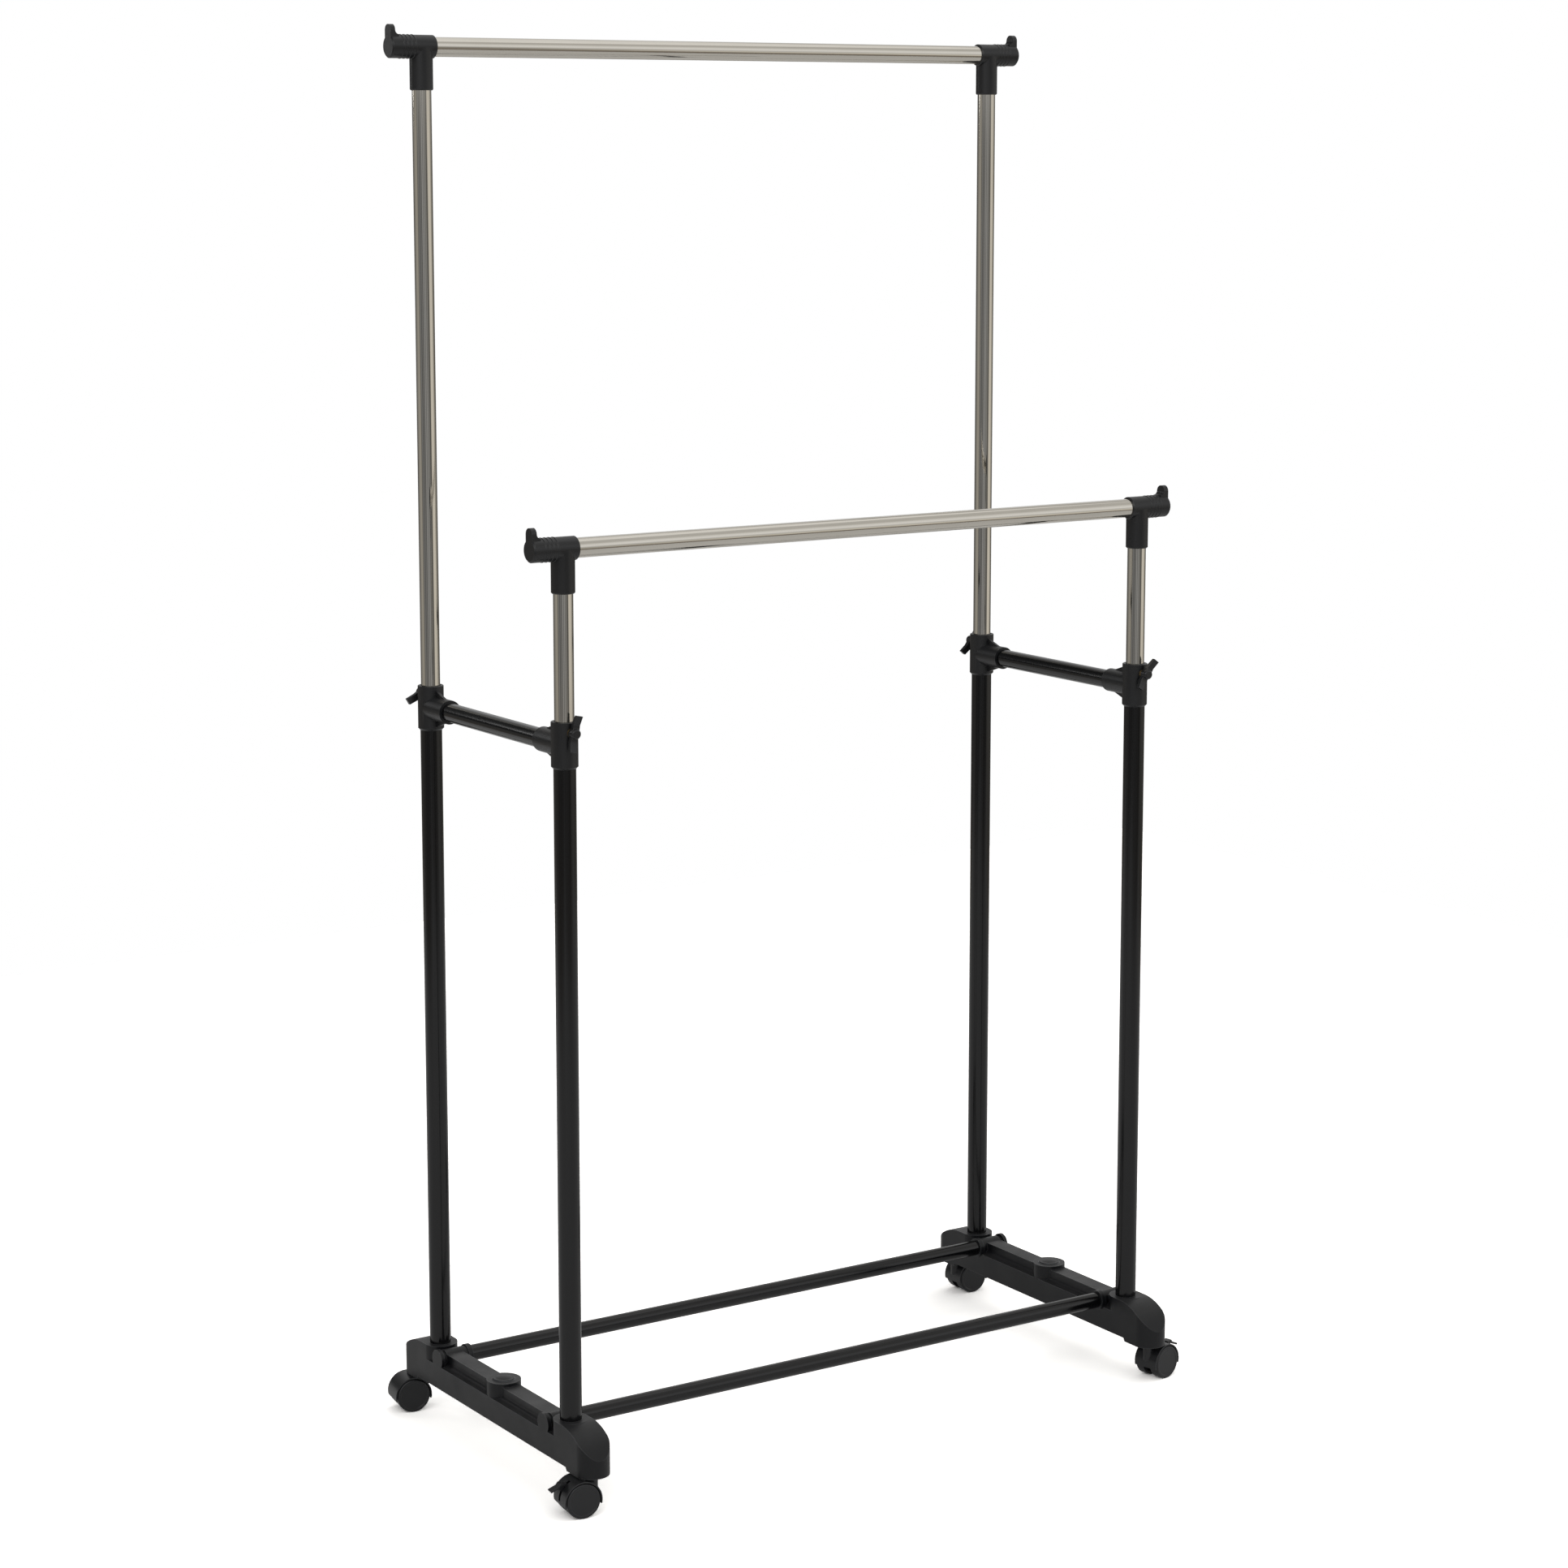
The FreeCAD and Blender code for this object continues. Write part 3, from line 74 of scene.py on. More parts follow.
class Axis(Enum):
    """Which way a tube runs, as its shares along X and Y. A tube along neither is upright."""

    X = (1.0, 0.0)
    Y = (0.0, 1.0)
    Z = (0.0, 0.0)


def rgba(colour: Colour) -> tuple[float, float, float, float]:
    """The colour with full opacity."""
    return (*colour, 1.0)


def corner(side: Side, row: Row) -> str:
    """How the names of the nodes at one corner of the rack begin."""
    return f"{side.value}_{row.value}"


@dataclass(frozen=True)
class Speckle:
    """The size and detail of a noise.

    Args:
        scale: Features in a metre.
        detail: Octaves of finer noise.
    """

    scale: float
    detail: float = 3.0


@dataclass
class NodeBench:
    """Adds nodes and links to one node tree.

    Args:
        tree: The node tree to work on.
    """

    tree: Nodes

    def add(self, kind: str, **values: object) -> bpy.types.Node:
        """Adds a node.

        Args:
            kind: The node's type name.
            values: Attributes of the node, such as its operation.

        Returns:
            The new node.
        """
        node = self.tree.nodes.new(kind)
        for name, value in values.items():
            setattr(node, name, value)
        return node

    def join(self, source: bpy.types.NodeSocket, target: bpy.types.NodeSocket) -> None:
        """Links an output socket to an input socket."""
        self.tree.links.new(source, target)

    def math(self, operation: str, first: object, second: object = 0.0, clamp: bool = False) -> bpy.types.NodeSocket:
        """Adds a Math node.

        Args:
            operation: The sum to do.
            first: A socket or a number.
            second: A socket or a number.
            clamp: Whether the result is held between 0 and 1.

        Returns:
            The node's output.
        """
        node = self.add("ShaderNodeMath", operation=operation, use_clamp=clamp)
        for socket, value in zip(node.inputs, (first, second)):
            if isinstance(value, bpy.types.NodeSocket):
                self.join(value, socket)
            else:
                socket.default_value = value
        return node.outputs[0]

    def mix(self, share: object, low: object, high: object) -> bpy.types.NodeSocket:
        """Adds a colour Mix node.

        Args:
            share: A socket or a number, 0 for low and 1 for high.
            low: A socket or a colour.
            high: A socket or a colour.

        Returns:
            The mixed colour.
        """
        node = self.add("ShaderNodeMix", data_type="RGBA")
        inputs = [s for s in node.inputs if s.enabled]
        for socket, value in zip(inputs, (share, low, high)):
            if isinstance(value, bpy.types.NodeSocket):
                self.join(value, socket)
            elif isinstance(value, tuple):
                socket.default_value = rgba(value)
            else:
                socket.default_value = value
        return next(s for s in node.outputs if s.enabled)

    def spread(self, value: bpy.types.NodeSocket, low: float, high: float) -> bpy.types.NodeSocket:
        """Maps a value onto a span.

        Args:
            value: The value, 0 to 1.
            low: What 0 becomes.
            high: What 1 becomes.

        Returns:
            The value on the span.
        """
        node = self.add("ShaderNodeMapRange")
        self.join(value, node.inputs["Value"])
        node.inputs["To Min"].default_value = low
        node.inputs["To Max"].default_value = high
        return node.outputs["Result"]

    def noise(self, place: bpy.types.NodeSocket, speckle: Speckle) -> bpy.types.NodeSocket:
        """A noise value at a place.

        Args:
            place: The point to read the noise at.
            speckle: The noise's size and detail.

        Returns:
            A value round one half.
        """
        node = self.add("ShaderNodeTexNoise")
        node.inputs["Scale"].default_value = speckle.scale
        node.inputs["Detail"].default_value = speckle.detail
        self.join(place, node.inputs["Vector"])
        return node.outputs["Fac"]


class GroupMaker:
    """Starts a shader node group with named inputs and outputs."""

    def __init__(self, name: str, inputs: dict[str, float], outputs: dict[str, str]) -> None:
        """Makes the empty group.

        Args:
            name: The group's name.
            inputs: Each number input's name and usual value.
            outputs: Each output's name and socket type.
        """
        self.tree = bpy.data.node_groups.new(name, "ShaderNodeTree")
        for label, value in inputs.items():
            socket = self.tree.interface.new_socket(name=label, in_out="INPUT", socket_type="NodeSocketFloat")
            socket.default_value = value
        for label, kind in outputs.items():
            self.tree.interface.new_socket(name=label, in_out="OUTPUT", socket_type=kind)
        self.bench = NodeBench(self.tree)
        self.inputs = self.bench.add("NodeGroupInput").outputs
        self.outputs = self.bench.add("NodeGroupOutput").inputs


@dataclass
class SharedEffects:
    """The effects that several finishes use, each one a node group.

    Args:
        edge_samples: Rays that find an edge at each point.
        edge_gain: How fast the edge mask grows with the edge's turn.
        edge_breaks: The noise that breaks up the edge wear and its painted highlight.
        edge_break_span: The weakest and strongest of those breaks.
        shrink_waves: The slow waves of a moulded face.
        mottle: The uneven gloss of a moulded face.
        lines: The noise that is drawn out into lines along a tube.
        line_stretch: The lines' width over their length.
        cloud: The slow changes of tone along a tube.
        dust_patches: The noise that breaks up the dust.
        dust_patch_span: The thinnest and thickest of those patches.
        dust_falloff: How fast the dust thins as a face tilts.
    """

    edge_samples: int = 4
    edge_gain: float = 5.0
    edge_breaks: Speckle = Speckle(90.0)
    edge_break_span: Span = (0.35, 1.5)
    shrink_waves: Speckle = Speckle(45.0, 2.0)
    mottle: Speckle = Speckle(28.0, 5.0)
    lines: Speckle = Speckle(1.0, 4.0)
    line_stretch: float = 0.01
    cloud: Speckle = Speckle(12.0, 3.0)
    dust_patches: Speckle = Speckle(60.0, 6.0)
    dust_patch_span: Span = (0.2, 1.3)
    dust_falloff: float = 3.0
    edge_wear_and_highlight: Nodes = field(init=False)
    mould_grain: Nodes = field(init=False)
    tube_draw_lines: Nodes = field(init=False)
    settled_dust: Nodes = field(init=False)

    def __post_init__(self) -> None:
        """Builds the groups."""
        self.edge_wear_and_highlight = self.make_edge_wear_and_highlight()
        self.mould_grain = self.make_mould_grain()
        self.tube_draw_lines = self.make_tube_draw_lines()
        self.settled_dust = self.make_settled_dust()

    def make_edge_wear_and_highlight(self) -> Nodes:
        """A mask of the edges: wear that polishes them, and a painted highlight where it lightens their colour.

        Returns:
            The group, with inputs Reach and Amount and output Mask.
        """
        group = GroupMaker("edge_wear_and_highlight", {"Reach": 0.0012, "Amount": 1.0}, {"Mask": "NodeSocketFloat"})
        bench = group.bench
        bevel = bench.add("ShaderNodeBevel", samples=self.edge_samples)
        bench.join(group.inputs["Reach"], bevel.inputs["Radius"])
        facing = bench.add("ShaderNodeNewGeometry")
        dot = bench.add("ShaderNodeVectorMath", operation="DOT_PRODUCT")
        bench.join(bevel.outputs["Normal"], dot.inputs[0])
        bench.join(facing.outputs["Normal"], dot.inputs[1])
        turned = bench.math("SUBTRACT", 1.0, dot.outputs["Value"])
        place = bench.add("ShaderNodeTexCoord").outputs["Object"]
        broken = bench.spread(bench.noise(place, self.edge_breaks), *self.edge_break_span)
        strength = bench.math("MULTIPLY", bench.math("MULTIPLY", turned, self.edge_gain), broken)
        bench.join(bench.math("MULTIPLY", strength, group.inputs["Amount"], clamp=True), group.outputs["Mask"])
        return group.tree

    def make_mould_grain(self) -> Nodes:
        """The fine spark-eroded grain of a moulded surface, with slow waves of shrinkage.

        Returns:
            The group, with inputs Scale and Waviness and outputs Height and Mottle.
        """
        group = GroupMaker(
            "mould_grain",
            {"Scale": 1400.0, "Waviness": 0.5},
            {"Height": "NodeSocketFloat", "Mottle": "NodeSocketFloat"},
        )
        bench = group.bench
        place = bench.add("ShaderNodeTexCoord").outputs["Object"]
        cells = bench.add("ShaderNodeTexVoronoi", feature="SMOOTH_F1")
        bench.join(place, cells.inputs["Vector"])
        bench.join(group.inputs["Scale"], cells.inputs["Scale"])
        waves = bench.noise(place, self.shrink_waves)
        rolling = bench.math("MULTIPLY", waves, group.inputs["Waviness"])
        bench.join(bench.math("ADD", cells.outputs["Distance"], rolling), group.outputs["Height"])
        bench.join(bench.noise(place, self.mottle), group.outputs["Mottle"])
        return group.tree

    def make_tube_draw_lines(self) -> Nodes:
        """The faint long lines that drawing and polishing leave along a tube.

        Returns:
            The group, with inputs Along X, Along Y and Across and outputs Lines and Cloud. A tube that runs
            along neither X nor Y is upright.
        """
        group = GroupMaker(
            "tube_draw_lines",
            {"Along X": 0.0, "Along Y": 0.0, "Across": 900.0},
            {"Lines": "NodeSocketFloat", "Cloud": "NodeSocketFloat"},
        )
        bench = group.bench
        place = bench.add("ShaderNodeTexCoord").outputs["Object"]
        parts = bench.add("ShaderNodeSeparateXYZ")
        bench.join(place, parts.inputs[0])
        keep_x = bench.math("SUBTRACT", 1.0 + self.line_stretch, group.inputs["Along X"])
        keep_y = bench.math("SUBTRACT", 1.0 + self.line_stretch, group.inputs["Along Y"])
        level = bench.math("ADD", group.inputs["Along X"], group.inputs["Along Y"])
        keep_z = bench.math("ADD", level, self.line_stretch)
        squeezed = bench.add("ShaderNodeCombineXYZ")
        bench.join(bench.math("MULTIPLY", parts.outputs["X"], keep_x), squeezed.inputs["X"])
        bench.join(bench.math("MULTIPLY", parts.outputs["Y"], keep_y), squeezed.inputs["Y"])
        bench.join(bench.math("MULTIPLY", parts.outputs["Z"], keep_z), squeezed.inputs["Z"])
        scaled = bench.add("ShaderNodeVectorMath", operation="SCALE")
        bench.join(squeezed.outputs[0], scaled.inputs[0])
        bench.join(group.inputs["Across"], scaled.inputs["Scale"])
        bench.join(bench.noise(scaled.outputs[0], self.lines), group.outputs["Lines"])
        bench.join(bench.noise(place, self.cloud), group.outputs["Cloud"])
        return group.tree

    def make_settled_dust(self) -> Nodes:
        """A mask of thin dust on faces that look up.

        Returns:
            The group, with input Amount and output Mask.
        """
        group = GroupMaker("settled_dust", {"Amount": 0.2}, {"Mask": "NodeSocketFloat"})
        bench = group.bench
        normal = bench.add("ShaderNodeSeparateXYZ")
        bench.join(bench.add("ShaderNodeNewGeometry").outputs["Normal"], normal.inputs[0])
        up = bench.math("POWER", bench.math("MAXIMUM", normal.outputs["Z"], 0.0), self.dust_falloff)
        place = bench.add("ShaderNodeTexCoord").outputs["Object"]
        patches = bench.spread(bench.noise(place, self.dust_patches), *self.dust_patch_span)
        settled = bench.math("MULTIPLY", up, patches)
        bench.join(bench.math("MULTIPLY", settled, group.inputs["Amount"], clamp=True), group.outputs["Mask"])
        return group.tree


@dataclass
class FinishDraft:
    """One material in the making, with its shader and the shared effects to hand.

    Args:
        name: The material's name.
        effects: The shared node groups; not used.
    """

    name: str
    effects: SharedEffects
    material: bpy.types.Material = field(init=False)
    bench: NodeBench = field(init=False)
    shader: bpy.types.Node = field(init=False)

    def __post_init__(self) -> None:
        """Makes the material with a bare shader."""
        self.material = bpy.data.materials.new(self.name)
        self.material.use_nodes = True
        self.material.node_tree.nodes.clear()
        self.bench = NodeBench(self.material.node_tree)
        self.shader = self.bench.add("ShaderNodeBsdfPrincipled")
        output = self.bench.add("ShaderNodeOutputMaterial")
        self.bench.join(self.shader.outputs["BSDF"], output.inputs["Surface"])

    def effect(self, group: Nodes, **values: float) -> bpy.types.Node:
        """Places a shared effect.

        Args:
            group: The effect's node group.
            values: Its inputs, with underscores for spaces.

        Returns:
            The group node.
        """
        node = self.bench.add("ShaderNodeGroup", node_tree=group)
        for label, value in values.items():
            node.inputs[label.replace("_", " ")].default_value = value
        return node

    def set(self, **values: float) -> None:
        """Sets the shader's own sockets, with underscores for spaces."""
        for label, value in values.items():
            self.shader.inputs[label.replace("_", " ")].default_value = value

    def feed(self, label: str, source: bpy.types.NodeSocket) -> None:
        """Links a value that changes over the surface to one of the shader's sockets."""
        self.bench.join(source, self.shader.inputs[label])

    def emboss(self, height: bpy.types.NodeSocket, depth: float, strength: float) -> None:
        """Feeds the shader's normal from a height.

        Args:
            height: The height, about 0 to 1.
            depth: What a height of 1 stands for, in metres.
            strength: The share of the bump that shows.
        """
        bump = self.bench.add("ShaderNodeBump")
        bump.inputs["Distance"].default_value = depth
        bump.inputs["Strength"].default_value = strength
        self.bench.join(height, bump.inputs["Height"])
        self.feed("Normal", bump.outputs["Normal"])


@dataclass(frozen=True)
class MouldedPlastic:
    """Black plastic from a spark-eroded mould, with edges lightened by wear and a painted highlight, and a little
    dust.

    Args:
        name: The material's name.
        shade: The plastic's colour.
        edge_wear_and_highlight_colour: Its colour on the edges, part wear and part painted highlight.
        dusty: The colour of the dust.
        roughness: The mean roughness.
        grain_scale: Grains in a metre.
        grain_depth: How deep the grain is.
        grain_strength: The share of the grain that shows.
        waviness: How much the faces roll, beside the grain.
        specular: The strength of reflections.
        unevenness: How far the roughness strays from its mean.
        darkest: The darkest mottle, as a share of the shade.
        dust: How much dust has settled.
        dust_dulling: What full dust adds to the roughness.
        edge_reach: How far from an edge the wear and its painted highlight reach.
        edge_amount: How much of them there is.
        edge_polish: What full rubbing takes off the roughness.
        ior: The index of refraction.
    """

    name: str
    shade: Colour
    edge_wear_and_highlight_colour: Colour
    dusty: Colour = (0.22, 0.22, 0.22)
    roughness: float = 0.39
    grain_scale: float = 1400.0
    grain_depth: float = 0.06 * MM
    grain_strength: float = 0.35
    waviness: float = 0.5
    specular: float = 0.5
    unevenness: float = 0.07
    darkest: float = 0.82
    dust: float = 0.1
    dust_dulling: float = 0.5
    edge_reach: float = 1.0 * MM
    edge_amount: float = 0.55
    edge_polish: float = 0.14
    ior: float = 1.5

    def build(self, effects: SharedEffects) -> bpy.types.Material:
        """Makes the material.

        Args:
            effects: The shared node groups.

        Returns:
            The material.
        """
        draft = FinishDraft(self.name, effects)
        bench = draft.bench
        grain = draft.effect(effects.mould_grain, Scale=self.grain_scale, Waviness=self.waviness)
        edges = draft.effect(effects.edge_wear_and_highlight, Reach=self.edge_reach, Amount=self.edge_amount)
        dust = draft.effect(effects.settled_dust, Amount=self.dust)
        darker = tuple(self.darkest * c for c in self.shade)
        body = bench.mix(grain.outputs["Mottle"], darker, self.shade)
        # Lightens the edges: part wear, part painted highlight.
        body_with_edge_highlight = bench.mix(edges.outputs["Mask"], body, self.edge_wear_and_highlight_colour)
        draft.feed("Base Color", bench.mix(dust.outputs["Mask"], body_with_edge_highlight, self.dusty))
        smoothest = self.roughness - self.unevenness
        mottled = bench.spread(grain.outputs["Mottle"], smoothest, self.roughness + self.unevenness)
        smoother = bench.math("MULTIPLY", edges.outputs["Mask"], self.edge_polish)
        dulled = bench.math("MULTIPLY", dust.outputs["Mask"], self.dust_dulling)
        draft.feed("Roughness", bench.math("ADD", bench.math("SUBTRACT", mottled, smoother), dulled, clamp=True))
        draft.emboss(grain.outputs["Height"], self.grain_depth, self.grain_strength)
        draft.set(IOR=self.ior, Specular_IOR_Level=self.specular)
        return draft.material


@dataclass(frozen=True)
class GlossEnamel:
    """Glossy black enamel baked onto steel tube, with a faint orange peel.

    Args:
        name: The material's name.
        shade: The enamel's colour.
        runs: Which way the tube runs.
        dusty: The colour of the dust.
        dust: How much dust has settled.
        deepest: The darkest clouding, as a share of the shade.
        roughness: The usual roughness.
        smoother: How far the draw lines take the roughness down.
        rougher: How far they take it up.
        lines_across: Draw lines in a metre.
        peel: The size of the orange peel.
        peel_depth: How deep it is.
        peel_strength: The share of it that shows.
        ior: The index of refraction.
    """

    name: str
    shade: Colour
    runs: Axis
    dusty: Colour = (0.2, 0.195, 0.185)
    dust: float = 0.04
    deepest: float = 0.75
    roughness: float = 0.16
    smoother: float = 0.04
    rougher: float = 0.06
    lines_across: float = 420.0
    peel: Speckle = Speckle(520.0, 2.0)
    peel_depth: float = 0.05 * MM
    peel_strength: float = 0.05
    ior: float = 1.48

    def build(self, effects: SharedEffects) -> bpy.types.Material:
        """Makes the material.

        Args:
            effects: The shared node groups.

        Returns:
            The material.
        """
        draft = FinishDraft(self.name, effects)
        bench = draft.bench
        along_x, along_y = self.runs.value
        lines = draft.effect(effects.tube_draw_lines, Along_X=along_x, Along_Y=along_y, Across=self.lines_across)
        dust = draft.effect(effects.settled_dust, Amount=self.dust)
        deeper = tuple(self.deepest * c for c in self.shade)
        body = bench.mix(lines.outputs["Cloud"], deeper, self.shade)
        draft.feed("Base Color", bench.mix(dust.outputs["Mask"], body, self.dusty))
        smoothest, roughest = self.roughness - self.smoother, self.roughness + self.rougher
        draft.feed("Roughness", bench.spread(lines.outputs["Lines"], smoothest, roughest))
        place = bench.add("ShaderNodeTexCoord").outputs["Object"]
        draft.emboss(bench.noise(place, self.peel), self.peel_depth, self.peel_strength)
        draft.set(IOR=self.ior)
        return draft.material


@dataclass(frozen=True)
class ChromePlate:
    """Warm bright chrome on polished tube, with faint polishing lines.

    Args:
        name: The material's name.
        shade: The chrome's colour.
        deep: Its colour where it is clouded.
        runs: Which way the tube runs.
        roughness: The usual roughness.
        smoother: How far the polishing lines take the roughness down.
        rougher: How far they take it up.
        lines_across: Polishing lines in a metre.
        line_depth: How deep they are.
        line_strength: The share of them that shows.
    """

    name: str
    shade: Colour
    deep: Colour
    runs: Axis
    roughness: float = 0.06
    smoother: float = 0.03
    rougher: float = 0.05
    lines_across: float = 1100.0
    line_depth: float = 0.02 * MM
    line_strength: float = 0.12

    def build(self, effects: SharedEffects) -> bpy.types.Material:
        """Makes the material.

        Args:
            effects: The shared node groups.

        Returns:
            The material.
        """
        draft = FinishDraft(self.name, effects)
        bench = draft.bench
        along_x, along_y = self.runs.value
        lines = draft.effect(effects.tube_draw_lines, Along_X=along_x, Along_Y=along_y, Across=self.lines_across)
        draft.feed("Base Color", bench.mix(lines.outputs["Cloud"], self.deep, self.shade))
        smoothest, roughest = self.roughness - self.smoother, self.roughness + self.rougher
        draft.feed("Roughness", bench.spread(lines.outputs["Lines"], smoothest, roughest))
        draft.emboss(lines.outputs["Lines"], self.line_depth, self.line_strength)
        draft.set(Metallic=1.0)
        return draft.material


@dataclass(frozen=True)
class PlatedMetal:
    """Turned and plated small parts: zinc steel or brass, with a fine grain and a dull bloom.

    Args:
        name: The material's name.
        shade: The metal's colour.
        bloom: Its colour where it has dulled.
        roughness: The usual roughness.
        dulling: What a full bloom adds to the roughness.
        polish: What clean metal takes off it.
        grain_scale: Grains in a metre.
        grain_depth: How deep the grain is.
        grain_strength: The share of the grain that shows.
        waviness: How much the faces roll, beside the grain.
        edge_reach: How far from an edge the rubbing reaches.
        edge_amount: How much of it there is.
    """

    name: str
    shade: Colour
    bloom: Colour
    roughness: float = 0.3
    dulling: float = 0.1
    polish: float = 0.08
    grain_scale: float = 2600.0
    grain_depth: float = 0.03 * MM
    grain_strength: float = 0.2
    waviness: float = 0.2
    edge_reach: float = 0.5 * MM
    edge_amount: float = 0.8

    def build(self, effects: SharedEffects) -> bpy.types.Material:
        """Makes the material.

        Args:
            effects: The shared node groups.

        Returns:
            The material.
        """
        draft = FinishDraft(self.name, effects)
        bench = draft.bench
        grain = draft.effect(effects.mould_grain, Scale=self.grain_scale, Waviness=self.waviness)
        edges = draft.effect(effects.edge_wear_and_highlight, Reach=self.edge_reach, Amount=self.edge_amount)
        body = bench.mix(grain.outputs["Mottle"], self.bloom, self.shade)
        draft.feed("Base Color", bench.mix(edges.outputs["Mask"], body, self.shade))
        dullest, cleanest = self.roughness + self.dulling, self.roughness - self.polish
        draft.feed("Roughness", bench.spread(grain.outputs["Mottle"], dullest, cleanest))
        draft.emboss(grain.outputs["Height"], self.grain_depth, self.grain_strength)
        draft.set(Metallic=1.0)
        return draft.material


class Finishes:
    """Every finish on the rack, made once."""

    def __init__(self) -> None:
        """Builds the effects and the materials."""
        effects = SharedEffects()
        # The edge colours below are part wear and part painted highlight.
        self.base_plastic = MouldedPlastic(
            "charcoal_plastic",
            shade=(0.0042, 0.0046, 0.0058),
            edge_wear_and_highlight_colour=(0.062, 0.065, 0.07),
            waviness=1.5,
            specular=0.33,
            unevenness=0.14,
            edge_reach=1.5 * MM,
            edge_amount=0.75,
        ).build(effects)
        self.plastic = MouldedPlastic(
            "black_plastic", shade=(0.0056, 0.006, 0.0072), edge_wear_and_highlight_colour=(0.034, 0.035, 0.039), roughness=0.38, dust=0.04
        ).build(effects)
        self.knob_plastic = MouldedPlastic(
            "knob_plastic", shade=(0.0062, 0.0066, 0.0078), edge_wear_and_highlight_colour=(0.038, 0.039, 0.043), roughness=0.33, dust=0.03
        ).build(effects)
        self.caster = MouldedPlastic(
            "caster_plastic", shade=(0.007, 0.0075, 0.0088), edge_wear_and_highlight_colour=(0.038, 0.039, 0.043), roughness=0.34, dust=0.07
        ).build(effects)
        self.nylon = MouldedPlastic(
            "wheel_nylon",
            shade=(0.007, 0.0074, 0.0086),
            edge_wear_and_highlight_colour=(0.036, 0.037, 0.04),
            roughness=0.38,
            grain_scale=900.0,
            dust=0.05,
            edge_amount=0.8,
        ).build(effects)
        enamel_shade = (0.0012, 0.0013, 0.0018)
        self.enamel_upright = GlossEnamel("black_enamel_upright", enamel_shade, Axis.Z).build(effects)
        self.enamel_rail = GlossEnamel("black_enamel_rail", enamel_shade, Axis.X).build(effects)
        self.enamel_cross = GlossEnamel("black_enamel_cross", enamel_shade, Axis.Y).build(effects)
        warm = (0.67, 0.64, 0.58)
        warm_deep = (0.6, 0.57, 0.51)
        self.chrome_upright = ChromePlate("chrome_upright", warm, warm_deep, Axis.Z).build(effects)
        self.chrome_rail = ChromePlate("chrome_rail", warm, warm_deep, Axis.X).build(effects)
        self.zinc = PlatedMetal("zinc_plate", shade=(0.66, 0.67, 0.68), bloom=(0.5, 0.51, 0.5)).build(effects)
        self.brass = PlatedMetal(
            "turned_brass", shade=(0.72, 0.52, 0.22), bloom=(0.52, 0.37, 0.15), roughness=0.26
        ).build(effects)


@dataclass(frozen=True)
class Softening:
    """How far the edges of a moulded node are rounded.

    Args:
        radius: The edge rounding.
        segments: Faces across the rounding.
        from_angle: The smallest turn that counts as an edge, in degrees.
        weld_within: Corners this close are joined first.
        flat_within: Faces that turn less than this are joined first, in degrees.
        face_weight: How much large faces lead the shading, 50 for not at all.
    """

    radius: float
    segments: int = 2
    from_angle: float = 32.0
    weld_within: float = 0.002 * MM
    flat_within: float = 0.3
    face_weight: int = 80

    def apply(self, node: bpy.types.Object) -> None:
        """Adds the rounding to a node as modifiers.

        Args:
            node: The node to round.
        """
        weld = node.modifiers.new("weld_seams", "WELD")
        weld.merge_threshold = self.weld_within
        flats = node.modifiers.new("join_flats", "DECIMATE")
        flats.decimate_type = "DISSOLVE"
        flats.angle_limit = math.radians(self.flat_within)
        bevel = node.modifiers.new("round_edges", "BEVEL")
        bevel.width = self.radius
        bevel.segments = self.segments
        bevel.limit_method = "ANGLE"
        bevel.angle_limit = math.radians(self.from_angle)
        bevel.use_clamp_overlap = True
        bevel.harden_normals = False
        normals = node.modifiers.new("even_normals", "WEIGHTED_NORMAL")
        normals.weight = self.face_weight
        normals.keep_sharp = False


class Rack:
    """Gives the frame's nodes to the sub-assemblies and remembers what has been dressed."""

    def __init__(self, nodes: dict[str, bpy.types.Object]) -> None:
        """Takes the nodes from the frame."""
        self.nodes = nodes
        self.dressed: set[str] = set()

    def dress(
        self, name: str, material: bpy.types.Material, slot: Slot, soften: Softening | None = None
    ) -> bpy.types.Object:
        """Gives a node its finish.

        Args:
            name: The node's name.
            material: The finish.
            slot: The record's material slot; not used.
            soften: The edge rounding, if it has any.

        Returns:
            The node's object.
        """
        node = self.nodes[name]
        node.data.materials.clear()
        node.data.materials.append(material)
        if soften:
            soften.apply(node)
        self.dressed.add(name)
        LOG.info("dressed %s in %s", name, material.name)
        return node

    def undressed(self) -> list[str]:
        """The names of nodes that have no finish yet."""
        return sorted(set(self.nodes) - self.dressed)


@dataclass
class BaseUnit:
    """One moulded end base with its plug.

    Args:
        side: Which end it stands at.
        edge: The rounding of the base.
        plug_edge: The rounding of the plug.
    """

    side: Side
    edge: Softening = Softening(radius=0.6 * MM)
    plug_edge: Softening = Softening(radius=0.3 * MM)

    def dress(self, rack: Rack, finishes: Finishes) -> None:
        """Gives the base and its plug their plastic."""
        rack.dress(f"{self.side.value}_base", finishes.base_plastic, Slot.PLASTIC, self.edge)
        rack.dress(f"{self.side.value}_base_plug", finishes.base_plastic, Slot.PLASTIC, self.plug_edge)


@dataclass
class LowerFrame:
    """The black posts, base rails and cross tubes, with the clamps' inserts and the casters' bushes."""

    def dress(self, rack: Rack, finishes: Finishes) -> None:
        """Gives the tubes their enamel and the small fittings their metal.

        Args:
            rack: The frame's nodes.
            finishes: The materials.
        """
        for row in Row:
            rack.dress(f"{row.value}_base_rail", finishes.enamel_rail, Slot.ENAMEL)
            for side in Side:
                rack.dress(f"{corner(side, row)}_post", finishes.enamel_upright, Slot.ENAMEL)
        for side in Side:
            rack.dress(f"{side.value}_cross_tube", finishes.enamel_cross, Slot.ENAMEL)
        rack.dress("clamp_inserts", finishes.brass, Slot.BRASS)
        rack.dress("stem_bushes", finishes.zinc, Slot.ZINC)


